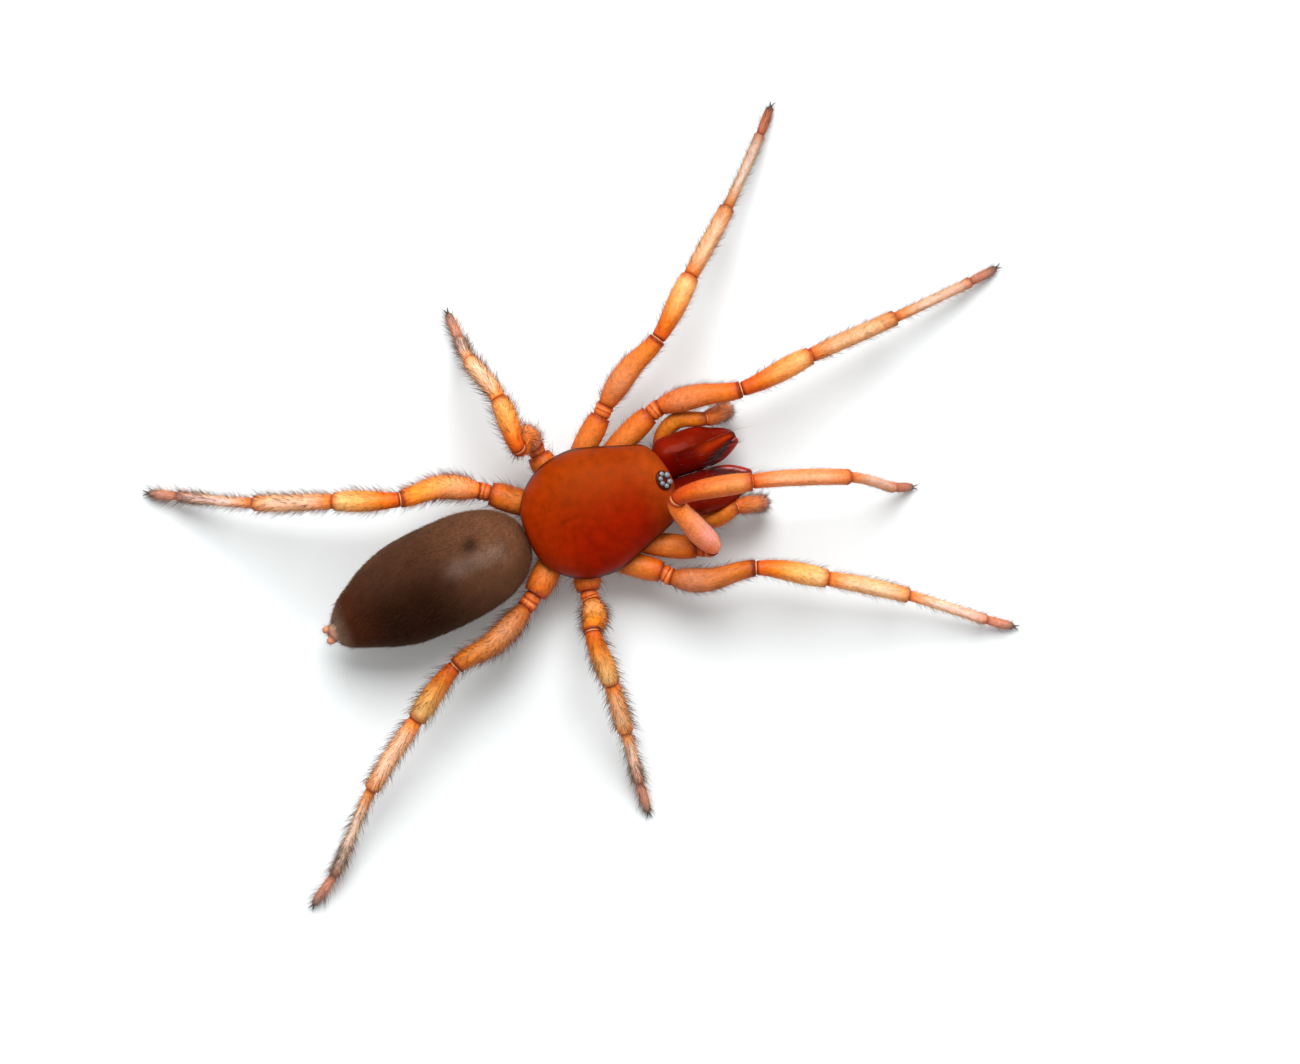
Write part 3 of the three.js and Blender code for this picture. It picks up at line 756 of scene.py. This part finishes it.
def limbSkin(name, joints, articles, hairLength, hipScale=1.0, brushShare=1.0):
    # one skin over all articles of a limb, with rims and soft membranes between them
    s = limbSet
    route = routeThrough(joints)
    spans = len(joints) - 1
    sideways = np.cross([0, 0, 1], np.array(joints[-1]) - np.array(joints[0]))
    sideways /= np.linalg.norm(sideways)
    light = articleLight.get(name.removesuffix("_skin"), {})
    highlightShow = 1.0 if name in rearedSkins else s["lowHighlight"]
    rows = []
    order = list(articles.items())
    for number, (label, article) in enumerate(order):
        first, last = article["span"]
        samples = route(np.linspace(first, last, 40) / spans)[0]
        shares = articleShares(np.linalg.norm(np.diff(samples, axis=0), axis=1).sum())
        spots, slopes = route((first + (last - first) * shares) / spans)
        if number > 0:
            spots[0] += slopes[0] * s["membraneHalf"]
        if number < len(order) - 1:
            spots[-1] -= slopes[-1] * s["membraneHalf"]
        grow = smoothStep(0.0, 0.08, shares) * (1 - smoothStep(0.95, 1.0, shares))
        brushStart = brushStarts.get(label, 2.0)
        rows.append({
            "centre": spots, "direction": slopes,
            "radius": (smoothTable(article["radius"], shares) * rimFactor(shares)
                       * (hipScale if label == "coxa" else 1.0)),
            "tint": blendStops(article["tints"], shares) * np.array(light.get(label, 1.0)),
            "fineHair": article["fine"] * grow, "bristle": article["bristle"] * grow,
            "brush": (smoothStep(brushStart, brushStart + 0.25, shares)
                      * (brushShare if label == "metatarsus" else 1.0)),
            "ribbon": (highlightShares.get(label, 0.0) * highlightShow * smoothStep(0.06, 0.22, shares)
                       * (1 - smoothStep(0.86, 0.97, shares))),
            "hairLength": np.full(len(shares), hairLength),
        })
        if number < len(order) - 1:                 # the soft membrane, one ring at the joint
            spot, slope = route([last / spans])
            following = order[number + 1][1]["radius"][0]
            soft = kneeMembrane if label == "femur" else otherMembrane
            rows.append({
                "centre": spot, "direction": slope, "tint": srgb(*soft)[None, :],
                "radius": [s["membraneDepth"] * min(article["radius"][-1], following)],
                "fineHair": [0.0], "bristle": [0.0], "brush": [0.0], "ribbon": [0.0],
                "hairLength": [1.0],
            })
    table = {label: np.concatenate([row[label] for row in rows]) for label in rows[0]}
    rings = ringsRound(table["centre"], table["direction"], sideways, table["radius"],
                       table["radius"], s["sides"])
    rings += s["uneven"] * layeredNoise(rings, 2.2, len(name))[:, :, None]
    rings[:, :, 2] = np.maximum(rings[:, :, 2], 0.0)

    def spread(label):
        return np.repeat(table[label].reshape(len(rings), 1, -1), s["sides"], axis=1)

    # painted shade: the flanks are painted darker and deeper in colour than the back
    angles = circle(s["sides"])
    flank = np.abs(np.cos(angles))[None, :, None]
    tint = spread("tint") * (1 + (np.array(s["edgeShade"]) - 1) * flank ** 2.5)
    # a painted highlight runs along the back, between two lines of painted shade
    turned = (angles - math.pi / 2 - s["highlightTurn"])[None, :, None]
    for label, at, width in s["bands"]:
        band = spread("ribbon") * np.exp(-((turned - at) / width) ** 2)
        tint = tint * (1 + (np.array(s[label]) - 1) * band)
    # no hair grows into the ground
    height = rings[:, :, 2:]
    below = smoothStep(0.3, -0.4, np.sin(angles))[None, :, None] * smoothStep(0.9, 0.5, height)
    clear = smoothStep(0.06, 0.3, height) * (1 - below)
    return loft(name, rings, {
        "tint": tint, "fineHair": spread("fineHair") * clear,
        "bristle": spread("bristle") * clear * (0.35 + 0.65 * flank),
        "brush": spread("brush") * clear, "hairLength": spread("hairLength"),
    })


# Claws: two dark hooks ahead of each foot
clawSet = {
    "length": 0.3, "radius": 0.038, "spread": 0.42, "rootSpread": 0.045, "sides": 10, "rings": 14,
    "rootDrop": 0.03, "bowHeight": 0.2, "tipHeight": 0.06, "colour": (46, 30, 26),
}


def makeClaws(name, joints):
    s = clawSet
    tip = np.array(joints[-1])
    ahead = routeThrough(joints)([1.0])[1][0] * np.array([1, 1, 0])
    ahead /= np.linalg.norm(ahead)
    left = np.cross([0, 0, 1], ahead)
    shares = np.linspace(0, 1, s["rings"])
    radius = s["radius"] * (1 - 0.93 * shares ** 1.4)
    parts = []
    for side in (-1, 1):
        hook = [tip - 0.25 * s["length"] * ahead - np.array([0, 0, s["rootDrop"]]),
                tip + 0.45 * s["length"] * ahead + left * side * s["rootSpread"],
                tip + s["length"] * ahead + left * side * s["length"] * s["spread"]]
        hook[1][2], hook[2][2] = s["bowHeight"], s["tipHeight"]
        spots, slopes = routeThrough(hook)(shares)
        rings = ringsRound(spots, slopes, left, radius, radius * 1.25, s["sides"])
        parts.append(loft(name + "_part", rings, {"tint": plainTint(rings, s["colour"])}))
    return joinPieces(name, parts)


def joinPieces(name, parts):
    # one mesh of several closed ones
    with bpy.context.temp_override(active_object=parts[0], selected_editable_objects=parts,
                                   object=parts[0], selected_objects=parts):
        bpy.ops.object.join()
    parts[0].name = name
    parts[0].data.name = name
    return parts[0]


# Each pair of legs: length of hair, bristles, brush at the foot's joints, width of the hip
legHair = {"1": (0.8, 0.9, 0.06, 1.06), "2": (0.82, 1.0, 0.06, 1.06), "3": (1.15, 1.5, 1.0, 1.18),
           "4": (1.1, 1.5, 0.9, 1.18), "right_leg_1": (0.5, 1.3, 0.06, 1.06)}

footTip = 0.13    # the middle of a foot's end, over the floor
for seed, (leg, joints) in enumerate(legJoints.items()):
    joints = [*joints[:-1], (*joints[-1][:2], footTip)]
    hairLength, bristleShare, brushShare, hipScale = legHair.get(leg, legHair[leg[-1]])
    skin = limbSkin(leg + "_skin", joints, legArticles, hairLength, hipScale, brushShare)
    nodes = [f"{leg}_{part}" for part in ("coxa", "femur", "patella", "tibia", "foot")]
    dress(skin, "leg", nodes)
    growHair(leg + "_fine_hair", skin, "fineHair", "fineHair", "legs", Seed=seed)
    growHair(leg + "_bristles", skin, "bristle", "darkHair", "legs", Seed=seed + 20,
             Density=hairSets["bristle"]["Density"] * bristleShare)
    growHair(leg + "_brush", skin, "brush", "brushHair", "feet", Seed=seed + 40)
    dress(makeClaws(leg + "_claws", joints), "claw")
print("legs done")

for seed, (side, joints) in enumerate(palpJoints.items()):
    skin = limbSkin(side + "_palp_skin", joints, palpArticles, 0.9)
    dress(skin, "leg", [f"{side}_palp_{part}" for part in palpArticles])
    growHair(side + "_palp_hair", skin, "fineHair", "greyHair", "legs", Seed=seed + 60)
    growHair(side + "_palp_bristles", skin, "bristle", "darkHair", "legs", Seed=seed + 64)
print("palps done")


# Carapace: half width and top along its length, with a groove in the middle and a raised rim
carapaceSet = {
    "rows": [(-2.46, 0.5, 2.72), (-2.36, 0.98, 2.95), (-2.1, 1.42, 3.2), (-1.7, 1.84, 3.46),
             (-1.1, 2.2, 3.66), (-0.4, 2.36, 3.74), (0.3, 2.36, 3.74), (1.03, 2.14, 3.7),
             (1.75, 1.88, 3.62), (2.3, 1.68, 3.54), (2.72, 1.5, 3.42), (3.0, 1.16, 3.26),
             (3.16, 0.76, 3.04), (3.24, 0.4, 2.8), (3.26, 0.2, 2.64)],
    "rim": 2.44, "under": 2.3, "rings": 130, "sides": 120,
    "grooveX": -0.75, "grooveLength": 0.42, "grooveDepth": 0.014, "grooveWidth": 0.07,
    "furrowDepth": 0.003, "furrowWidth": 0.07, "furrowBearings": (0.75, 1.2, 1.75, 2.3),
    "rimOut": 0.018, "shadedRightColour": (124, 16, 0), "litLeftColour": (134, 44, 0),
    "rearColour": (150, 40, 0), "headColour": (140, 54, 10),
}


def makeCarapace():
    s = carapaceSet
    rows = smoothTable(s["rows"], np.linspace(0, 1, s["rings"]))
    angles = circle(s["sides"])
    ahead, half, top = rows[:, 0:1], rows[:, 1:2], rows[:, 2:3]
    x, sine, cosine = np.broadcast_arrays(ahead, np.sin(angles), np.cos(angles))
    upper = s["rim"] + (top - s["rim"]) * np.abs(sine) ** 0.9
    lower = s["rim"] - (s["rim"] - s["under"]) * np.abs(sine) ** 0.4
    y = half * cosine
    groove = np.exp(-((x - s["grooveX"]) / s["grooveLength"]) ** 4 - (y / s["grooveWidth"]) ** 2)
    onTop = smoothStep(0.15, 0.5, sine)
    # faint furrows run out from the groove, between the head and the breast
    fromGroove = np.hypot(x - s["grooveX"], y)
    bearing = np.arctan2(np.abs(y), x - s["grooveX"])
    furrows = sum(np.exp(-((bearing - b) / s["furrowWidth"]) ** 2) for b in s["furrowBearings"])
    furrows = furrows * smoothStep(0.3, 0.8, fromGroove) * (1 - smoothStep(1.3, 2.0, fromGroove))
    dents = s["grooveDepth"] * groove + s["furrowDepth"] * furrows
    rings = np.stack([x, y, np.where(sine > 0, upper, lower) - onTop * dents], axis=2)
    rings[:, :, 2] += 0.008 * layeredNoise(rings, 1.6, 5) * onTop
    rings[:, :, 1] += np.sign(cosine) * s["rimOut"] * np.exp(-((sine - 0.02) / 0.045) ** 2)
    # painted light and shade: the left side, towards the light, is painted lighter and the right side
    # darker
    tone = plainTint(rings, s["shadedRightColour"])
    tone = toward(tone, s["litLeftColour"], smoothStep(-1.2, 2.2, y))
    tone = toward(tone, s["rearColour"], 0.6 * (1 - smoothStep(-2.4, -0.4, x)))
    tone = toward(tone, s["headColour"], 0.8 * smoothStep(1.6, 3.0, x))
    shade = 1 - 0.4 * (0.6 * groove + 0.25 * furrows) * onTop
    shade = shade * (1 + 0.14 * layeredNoise(rings, 1.3, 21))
    shade = shade * (1 - 0.7 * smoothStep(0.3, 0.16, sine))
    piece = loft("carapace_shell", rings, {"tint": tone * shade[..., None]})
    dress(piece, "carapace", ["carapace"])


makeCarapace()
print("carapace done")


# Abdomen: half width, middle line, top and bottom along its length, from front to rear
abdomenSet = {
    "rows": [(-2.5, 0.42, 0.02, 2.75, 1.95), (-2.68, 0.85, 0.02, 3.3, 1.5),
             (-3.1, 1.32, 0.02, 3.78, 1.14), (-3.8, 1.7, 0.0, 4.12, 0.92),
             (-4.7, 1.9, -0.02, 4.3, 0.84), (-5.7, 1.96, -0.06, 4.34, 0.86),
             (-6.7, 1.95, -0.1, 4.3, 0.92), (-7.6, 1.86, -0.14, 4.16, 1.02),
             (-8.5, 1.59, -0.18, 3.84, 1.16), (-9.2, 1.26, -0.23, 3.4, 1.34),
             (-9.7, 1.02, -0.29, 3.0, 1.48), (-10.03, 0.8, -0.36, 2.68, 1.58),
             (-10.22, 0.6, -0.4, 2.46, 1.68), (-10.3, 0.4, -0.41, 2.28, 1.76)],
    "rings": 160, "sides": 120, "coat": 0.04,
    # each dimple: ahead, out to the side, width, depth
    "dimples": [(-4.45, 0.55, 0.3, 0.13), (-4.5, -0.55, 0.16, 0.035), (-5.7, 0.5, 0.14, 0.03),
                (-5.7, -0.6, 0.14, 0.03), (-4.9, -0.15, 0.2, 0.03)],
    "shadedRightColour": (36, 12, 2), "litLeftColour": (76, 46, 30), "frontHighlightColour": (106, 68, 46),
    "rearColour": (84, 36, 12), "tipColour": (146, 118, 98), "underSheenColour": (110, 82, 62),
    "heartColour": (134, 112, 100),
}


def makeAbdomen():
    s = abdomenSet
    rows = smoothTable(s["rows"], np.linspace(0, 1, s["rings"]))
    angles = circle(s["sides"])
    ahead, half, middle, top, bottom = (rows[:, k:k + 1] for k in range(5))
    x, sine, cosine = np.broadcast_arrays(ahead, np.sin(angles), np.cos(angles))
    y = middle - np.maximum(half - s["coat"], 0.1) * cosine
    z = (top + bottom) / 2 + np.maximum((top - bottom) / 2 - s["coat"], 0.1) * sine
    onTop = smoothStep(0.2, 0.6, sine)
    hollow = sum(depth * np.exp(-((x - dimpleX) ** 2 + (y - dimpleY) ** 2) / width ** 2)
                 for dimpleX, dimpleY, width, depth in s["dimples"])
    rings = np.stack([x, y, z - hollow * onTop], axis=2)
    rings[:, :, 2] += 0.02 * layeredNoise(rings, 1.1, 9)
    rear, tip = smoothStep(-8.2, -9.8, x), smoothStep(-9.6, -10.35, x)
    # painted light and shade: the left side, towards the light, is painted lighter and the right side
    # darker
    tone = plainTint(rings, s["shadedRightColour"])
    tone = toward(tone, s["litLeftColour"], smoothStep(-0.9, 1.7, y))
    # painted highlight: the front is painted paler, where the light lies broad on it
    tone = toward(tone, s["frontHighlightColour"], 0.8 * smoothStep(-6.8, -3.4, x))
    tone = toward(tone, s["rearColour"], 0.55 * rear)
    tone = toward(tone, s["tipColour"], 0.75 * tip)
    # painted sheen: the lower sides and underside are painted paler, as the fuzz shines at the rim
    tone = toward(tone, s["underSheenColour"], 0.6 * smoothStep(0.7, -0.4, sine))
    heart = np.exp(-((y + 0.05) / 0.34) ** 2) * smoothStep(-6.0, -5.0, x)
    heart = heart * (1 - smoothStep(-3.6, -3.1, x)) * onTop
    tone = toward(tone, s["heartColour"], 0.36 * heart)
    shade = 1 - 0.6 * np.clip(hollow * 9, 0, 1) * onTop
    shade = shade * (1 + 0.08 * layeredNoise(rings, 3.5, 3))
    rear, tip = rear[..., None], tip[..., None]
    piece = loft("abdomen_skin", rings, {
        "tint": tone * shade[..., None], "fineHair": np.ones_like(tip),
        "bristle": 0.3 + 0.7 * rear + 1.5 * tip, "hairLength": 1 + 0.3 * tip})
    dress(piece, "abdomen", ["abdomen"])
    return piece


abdomenSkin = makeAbdomen()
abdomenCoat = {
    "coats": 3,
    "fine": {"Density": 1.6e8, "Length": 0.00012, "Thickness": 0.05, "Rise": 0.9, "Bend": 0.15,
             "Unevenness": 0.5, "Shortest": 0.4, "Points": 3},
    "long": {"Density": 1.4e7, "Length": 0.0003, "Thickness": 0.03, "Rise": 0.7, "Bend": 0.2,
             "Unevenness": 0.3, "Shortest": 0.5, "Points": 4},
}
for coat in range(abdomenCoat["coats"]):
    growHair(f"abdomen_fine_hair_{coat + 1}", abdomenSkin, "fineHair", "abdomenHair", "abdomen",
             **abdomenCoat["fine"], Seed=100 + coat)
growHair("abdomen_long_hair", abdomenSkin, "bristle", "abdomenHair", "abdomen",
         **abdomenCoat["long"], Seed=110)
print("abdomen done")


# Spinnerets: a low root with three pairs of blunt cones
spinneretSet = {
    "root": [(-10.1, -0.38, 2.05), (-10.5, -0.42, 1.98)], "rootRadius": (0.42, 0.3),
    # each pair: out to the side, up, length
    "cones": [(0.24, 0.12, 0.3), (0.26, -0.1, 0.25), (0.08, -0.02, 0.2)],
    "coneRadius": (0.15, 0.11), "sides": 28, "rings": 24,
    "rootTints": [(0, (150, 122, 102)), (0.6, (170, 126, 102)), (1, (160, 96, 70))],
    "coneTints": [(0, (120, 62, 38)), (0.5, (196, 130, 94)), (0.85, (184, 112, 80)),
                  (1, (96, 58, 44))],
}


def taperedCone(name, start, end, base, tip, tints):
    shares = np.linspace(0, 1, spinneretSet["rings"])
    spots, slopes = routeThrough([start, end])(shares)
    radius = (base + (tip - base) * shares) * np.sqrt(np.clip((1.02 - shares) / 0.12, 0, 1))
    radius = np.maximum(radius, 0.012)
    rings = ringsRound(spots, slopes, np.array([0, 1.0, 0]), radius, radius, spinneretSet["sides"])
    ones = np.ones((*rings.shape[:2], 1))
    return loft(name, rings, {"tint": ones * blendStops(tints, shares)[:, None, :],
                              "fineHair": ones * shares[:, None, None], "hairLength": ones})


def makeSpinnerets():
    s = spinneretSet
    x, y, z = s["root"][1]
    parts = [taperedCone("spinneret", *s["root"], *s["rootRadius"], s["rootTints"])]
    for out, lift, length in s["cones"]:
        for side in (-1, 1):
            start = (x + 0.06, y + side * out * 0.75, z + lift * 0.8)
            end = (start[0] - length, start[1] + side * 0.06, start[2] + lift * 0.3 - 0.03)
            parts.append(taperedCone("spinneret", start, end, *s["coneRadius"], s["coneTints"]))
    piece = joinPieces("spinneret_cones", parts)
    dress(piece, "soft", ["spinnerets"])
    growHair("spinneret_hair", piece, "fineHair", "greyHair", "spinnerets",
             Seed=120, Density=1.6e8, Length=0.00018)


makeSpinnerets()
print("spinnerets done")


# Jaws: each a stout wedge with a ridge, and a long fang folded along its inner edge
jawSet = {
    "hinge": 3.2, "shift": -0.08, "turn": -0.08,
    "rows": [(3.0, 0.72, 0.6, 2.22, 0.48), (3.2, 0.77, 0.765, 2.2, 0.58),
             (3.5, 0.8, 0.795, 2.17, 0.64), (3.8, 0.8, 0.795, 2.15, 0.66),
             (4.1, 0.81, 0.805, 2.1, 0.65), (4.5, 0.82, 0.8, 2.02, 0.61),
             (4.9, 0.875, 0.67, 1.94, 0.53), (5.3, 0.895, 0.49, 1.84, 0.42),
             (5.65, 0.92, 0.33, 1.74, 0.3), (5.9, 0.89, 0.21, 1.67, 0.19),
             (6.03, 0.85, 0.1, 1.64, 0.09)],
    "rings": 90, "sides": 72, "granules": 12, "granule": 0.026,
    "granulesAhead": (3.66, 4.2), "granulesAcross": (-0.4, 0.12), "ridge": 0.03,
    "baseColour": (84, 2, 0), "troughColour": (160, 44, 4), "outerHighlightColour": (116, 20, 4),
    "innerColour": (70, 8, 5), "tipColour": (60, 12, 8), "granuleColour": (26, 8, 6),
}
fangSet = {
    "route": [(6.02, 0.76, 1.6), (5.8, 0.6, 1.6), (5.3, 0.3, 1.58), (4.8, 0.16, 1.56),
              (4.5, 0.14, 1.56)],
    "radius": [0.15, 0.2, 0.2, 0.17, 0.12, 0.02], "rings": 60, "sides": 28,
    "tints": [(0, (150, 24, 12)), (0.6, (130, 16, 8)), (1, (50, 6, 5))],
}


def jawMiddle(ahead):
    # the line between the jaws, which are turned a little to the right together
    return jawSet["shift"] + jawSet["turn"] * (np.asarray(ahead) - jawSet["hinge"])


def jawSurface(ahead, across, side):
    # the point on top of a jaw at a place ahead, across from -1 (inner) to 1 (outer)
    rows = np.array(jawSet["rows"])
    middle, half, level, tall = (np.interp(ahead, rows[:, 0], rows[:, k]) for k in range(1, 5))
    y = side * (middle + half * across) + jawMiddle(ahead)
    return np.array([ahead, y, level + tall * math.sqrt(max(1 - across * across, 0))])


def makeJaw(sideName, side):
    s = jawSet
    rows = smoothTable(s["rows"], np.linspace(0, 1, s["rings"]))
    angles = circle(s["sides"])
    x, sine, cosine = np.broadcast_arrays(rows[:, 0:1], np.sin(angles), np.cos(angles))
    y = side * rows[:, 1:2] + jawMiddle(rows[:, 0:1]) + rows[:, 2:3] * cosine
    inner = -side * cosine
    # a ridge runs along the top from the base to the tip, with a shallow trough inside it
    across = inner + 0.1
    along = smoothStep(3.3, 4.2, x) * (1 - smoothStep(5.5, 5.95, x)) * (sine > 0)
    ridge = np.exp(-(across / 0.14) ** 2) - 0.4 * np.exp(-((across - 0.3) / 0.16) ** 2)
    z = rows[:, 3:4] + rows[:, 4:5] * sine + s["ridge"] * ridge * along
    rings = np.stack([x, y, z], axis=2)
    rings += 0.01 * layeredNoise(rings, 2.0, 12 + side)[..., None]
    tone = plainTint(rings, s["baseColour"])
    trough = np.exp(-((across - 0.3) / 0.3) ** 2) * smoothStep(4.2, 5.0, x)
    tone = toward(tone, s["troughColour"], 0.8 * trough)
    # painted highlight: the outer side is painted lighter
    tone = toward(tone, s["outerHighlightColour"], 0.7 * smoothStep(0.1, -0.4, across))
    tone = toward(tone, s["innerColour"], 0.8 * smoothStep(0.55, 0.95, inner))
    tone = tone * (1 - 0.4 * np.exp(-((across - 0.04) / 0.05) ** 2) * along)[..., None]
    tone = toward(tone, s["tipColour"], 0.8 * smoothStep(5.8, 6.0, x))
    innerFar = (smoothStep(0.55, 0.85, inner) * smoothStep(4.3, 4.8, x)
                * (1 - smoothStep(5.85, 6.0, x)))
    piece = loft(f"{sideName}_jaw", rings, {
        "tint": tone, "bristle": innerFar[..., None],
        "brush": 0.2 * smoothStep(4.4, 5.4, x)[..., None],
        "fineHair": 0.25 * smoothStep(3.6, 4.2, x)[..., None],
        "hairLength": np.ones((*x.shape, 1))})
    dress(piece, "jaw", [f"{sideName}_chelicera"])
    growHair(f"{sideName}_jaw_bristles", piece, "bristle", "darkHair", "jaws", Seed=140 + side,
             Density=1.5e8, Rise=1.0, Thickness=0.024)
    growHair(f"{sideName}_jaw_long_hair", piece, "brush", "greyHair", "jaws", Seed=142 + side,
             Density=2.4e7, Length=0.0009, Rise=1.0, Thickness=0.009, Bend=0.3, Points=6)
    growHair(f"{sideName}_jaw_hair", piece, "fineHair", "greyHair", "jaws", Seed=144 + side,
             Density=3e7)
    local = np.random.default_rng(30 + side)
    granules = []
    for _ in range(s["granules"]):
        spot = jawSurface(local.uniform(*s["granulesAhead"]), local.uniform(*s["granulesAcross"]),
                          side)
        size = s["granule"] * local.uniform(0.6, 1.2)
        rings = domeRings(spot, (size,) * 3, 8, 12)
        tint = plainTint(rings, s["granuleColour"])
        granules.append(loft("granule", rings, {"tint": tint}))
    dress(joinPieces(f"{sideName}_jaw_granules", granules), "fang")


def makeFang(sideName, side):
    s = fangSet
    shares = np.linspace(0, 1, s["rings"])
    route = [(px, side * py + float(jawMiddle(px)), pz) for px, py, pz in s["route"]]
    spots, slopes = routeThrough(route)(shares)
    radius = smoothTable(s["radius"], shares) * np.sqrt(np.clip(shares / 0.05 + 0.1, 0, 1))
    rings = ringsRound(spots, slopes, np.array([0, 0, 1.0]), radius * 0.9, radius, s["sides"])
    tint = np.ones((1, s["sides"], 1)) * blendStops(s["tints"], shares)[:, None, :]
    piece = loft(f"{sideName}_fang_horn", rings, {"tint": tint})
    dress(piece, "fang", [f"{sideName}_fang"])


for sideName, side in (("left", 1), ("right", -1)):
    makeJaw(sideName, side)
    makeFang(sideName, side)
print("jaws done")


# Eyes: six pearly lenses in a close ring, on a dark mound
eyeSet = {
    "ahead": 2.95, "level": 3.37, "tilt": 0.5, "mound": 0.36,
    # each pair: ahead, out to the side, radius
    "pairs": [(0.17, 0.13, 0.11), (-0.02, 0.235, 0.092), (-0.14, 0.09, 0.09)],
    "lensColour": (112, 116, 122), "patchColour": (18, 9, 8), "moundColour": (70, 22, 8),
}


def makeEyes():
    s = eyeSet
    tilt = np.array(Matrix.Rotation(s["tilt"], 3, "Y"))
    centre = np.array([s["ahead"], 0, s["level"]])

    def dome(name, spot, radii, colour):
        rings = domeRings(spot, radii) @ tilt.T + centre
        return loft(name, rings, {"tint": plainTint(rings, colour)})

    lenses, patches = [], []
    for ahead, out, radius in s["pairs"]:
        for side in (-1, 1):
            lenses.append(dome("lens", (ahead, side * out, 0.045),
                               (radius, radius, radius * 0.75), s["lensColour"]))
            patches.append(dome("patch", (ahead, side * out, 0.01),
                                (radius * 1.14, radius * 1.14, 0.07), s["patchColour"]))
    patches.append(dome("patch", (0, 0, -0.05), (s["mound"] * 0.85, s["mound"] * 1.05, 0.09),
                        s["moundColour"]))
    dress(joinPieces("eye_lenses", lenses), "lens")
    dress(joinPieces("eye_mound", patches), "jaw", ["eyes"])


makeEyes()
print("eyes done")


# Underside: sternum, labium, maxillae and the waist
underSet = {
    "sternum": {"centre": (-0.15, 0, 1.58), "radii": (1.7, 0.84, 0.5), "scallops": 8},
    "labium": {"centre": (2.12, 0, 1.42), "radii": (0.32, 0.26, 0.28)},
    "maxilla": {"centre": (2.5, 0.52, 1.36), "radii": (0.74, 0.28, 0.28), "turn": 0.25},
    "waist": {"route": [(-1.6, 0, 1.9), (-2.1, 0, 1.96), (-2.9, 0, 2.1)], "radius": 0.3,
              "drawnIn": 0.07, "rings": 20, "sides": 24, "colour": (150, 66, 24)},
    "colour": (168, 70, 16),
}


def underPiece(name, rings, node):
    ones = np.ones((*rings.shape[:2], 1))
    mottle = 1 + 0.1 * layeredNoise(rings, 3.0, 4)[..., None]
    piece = loft(name, rings, {"tint": srgb(*underSet["colour"]) * mottle,
                               "fineHair": ones * 0.4, "hairLength": ones})
    dress(piece, "leg", [node])
    growHair(name + "_hair", piece, "fineHair", "greyHair", "underside", Seed=170, Density=6e7)


def makeUnderside():
    s = underSet["sternum"]
    rings = domeRings((0, 0, 0), s["radii"], 40, 64)
    around = np.arctan2(rings[..., 1] / s["radii"][1], rings[..., 0] / s["radii"][0])
    rings[..., :2] *= 1 + 0.03 * np.cos(s["scallops"] * around)[..., None]
    underPiece("sternum_plate", rings + np.array(s["centre"]), "sternum")
    s = underSet["labium"]
    underPiece("labium_plate", domeRings(s["centre"], s["radii"], 24, 32), "labium")
    s = underSet["maxilla"]
    for sideName, side in (("left", 1), ("right", -1)):
        turn = np.array(Matrix.Rotation(side * s["turn"], 3, "Z"))
        rings = domeRings((0, 0, 0), s["radii"], 28, 36) @ turn.T
        centre = np.array(s["centre"]) * np.array([1, side, 1])
        underPiece(f"{sideName}_maxilla_lobe", rings + centre, f"{sideName}_maxilla")
    s = underSet["waist"]
    shares = np.linspace(0, 1, s["rings"])
    spots, slopes = routeThrough(s["route"])(shares)
    radius = s["radius"] - s["drawnIn"] * np.sin(np.pi * shares)
    rings = ringsRound(spots, slopes, np.array([0, 1.0, 0]), radius, radius, s["sides"])
    waist = loft("waist", rings, {"tint": plainTint(rings, s["colour"])})
    dress(waist, "soft", ["pedicel"])


makeUnderside()
print("underside done")

triangles = sum(sum(len(p.vertices) - 2 for p in o.data.polygons)
                for o in bpy.context.scene.objects if o.type == "MESH" and not o.hide_render)
print("triangles shown about", triangles)
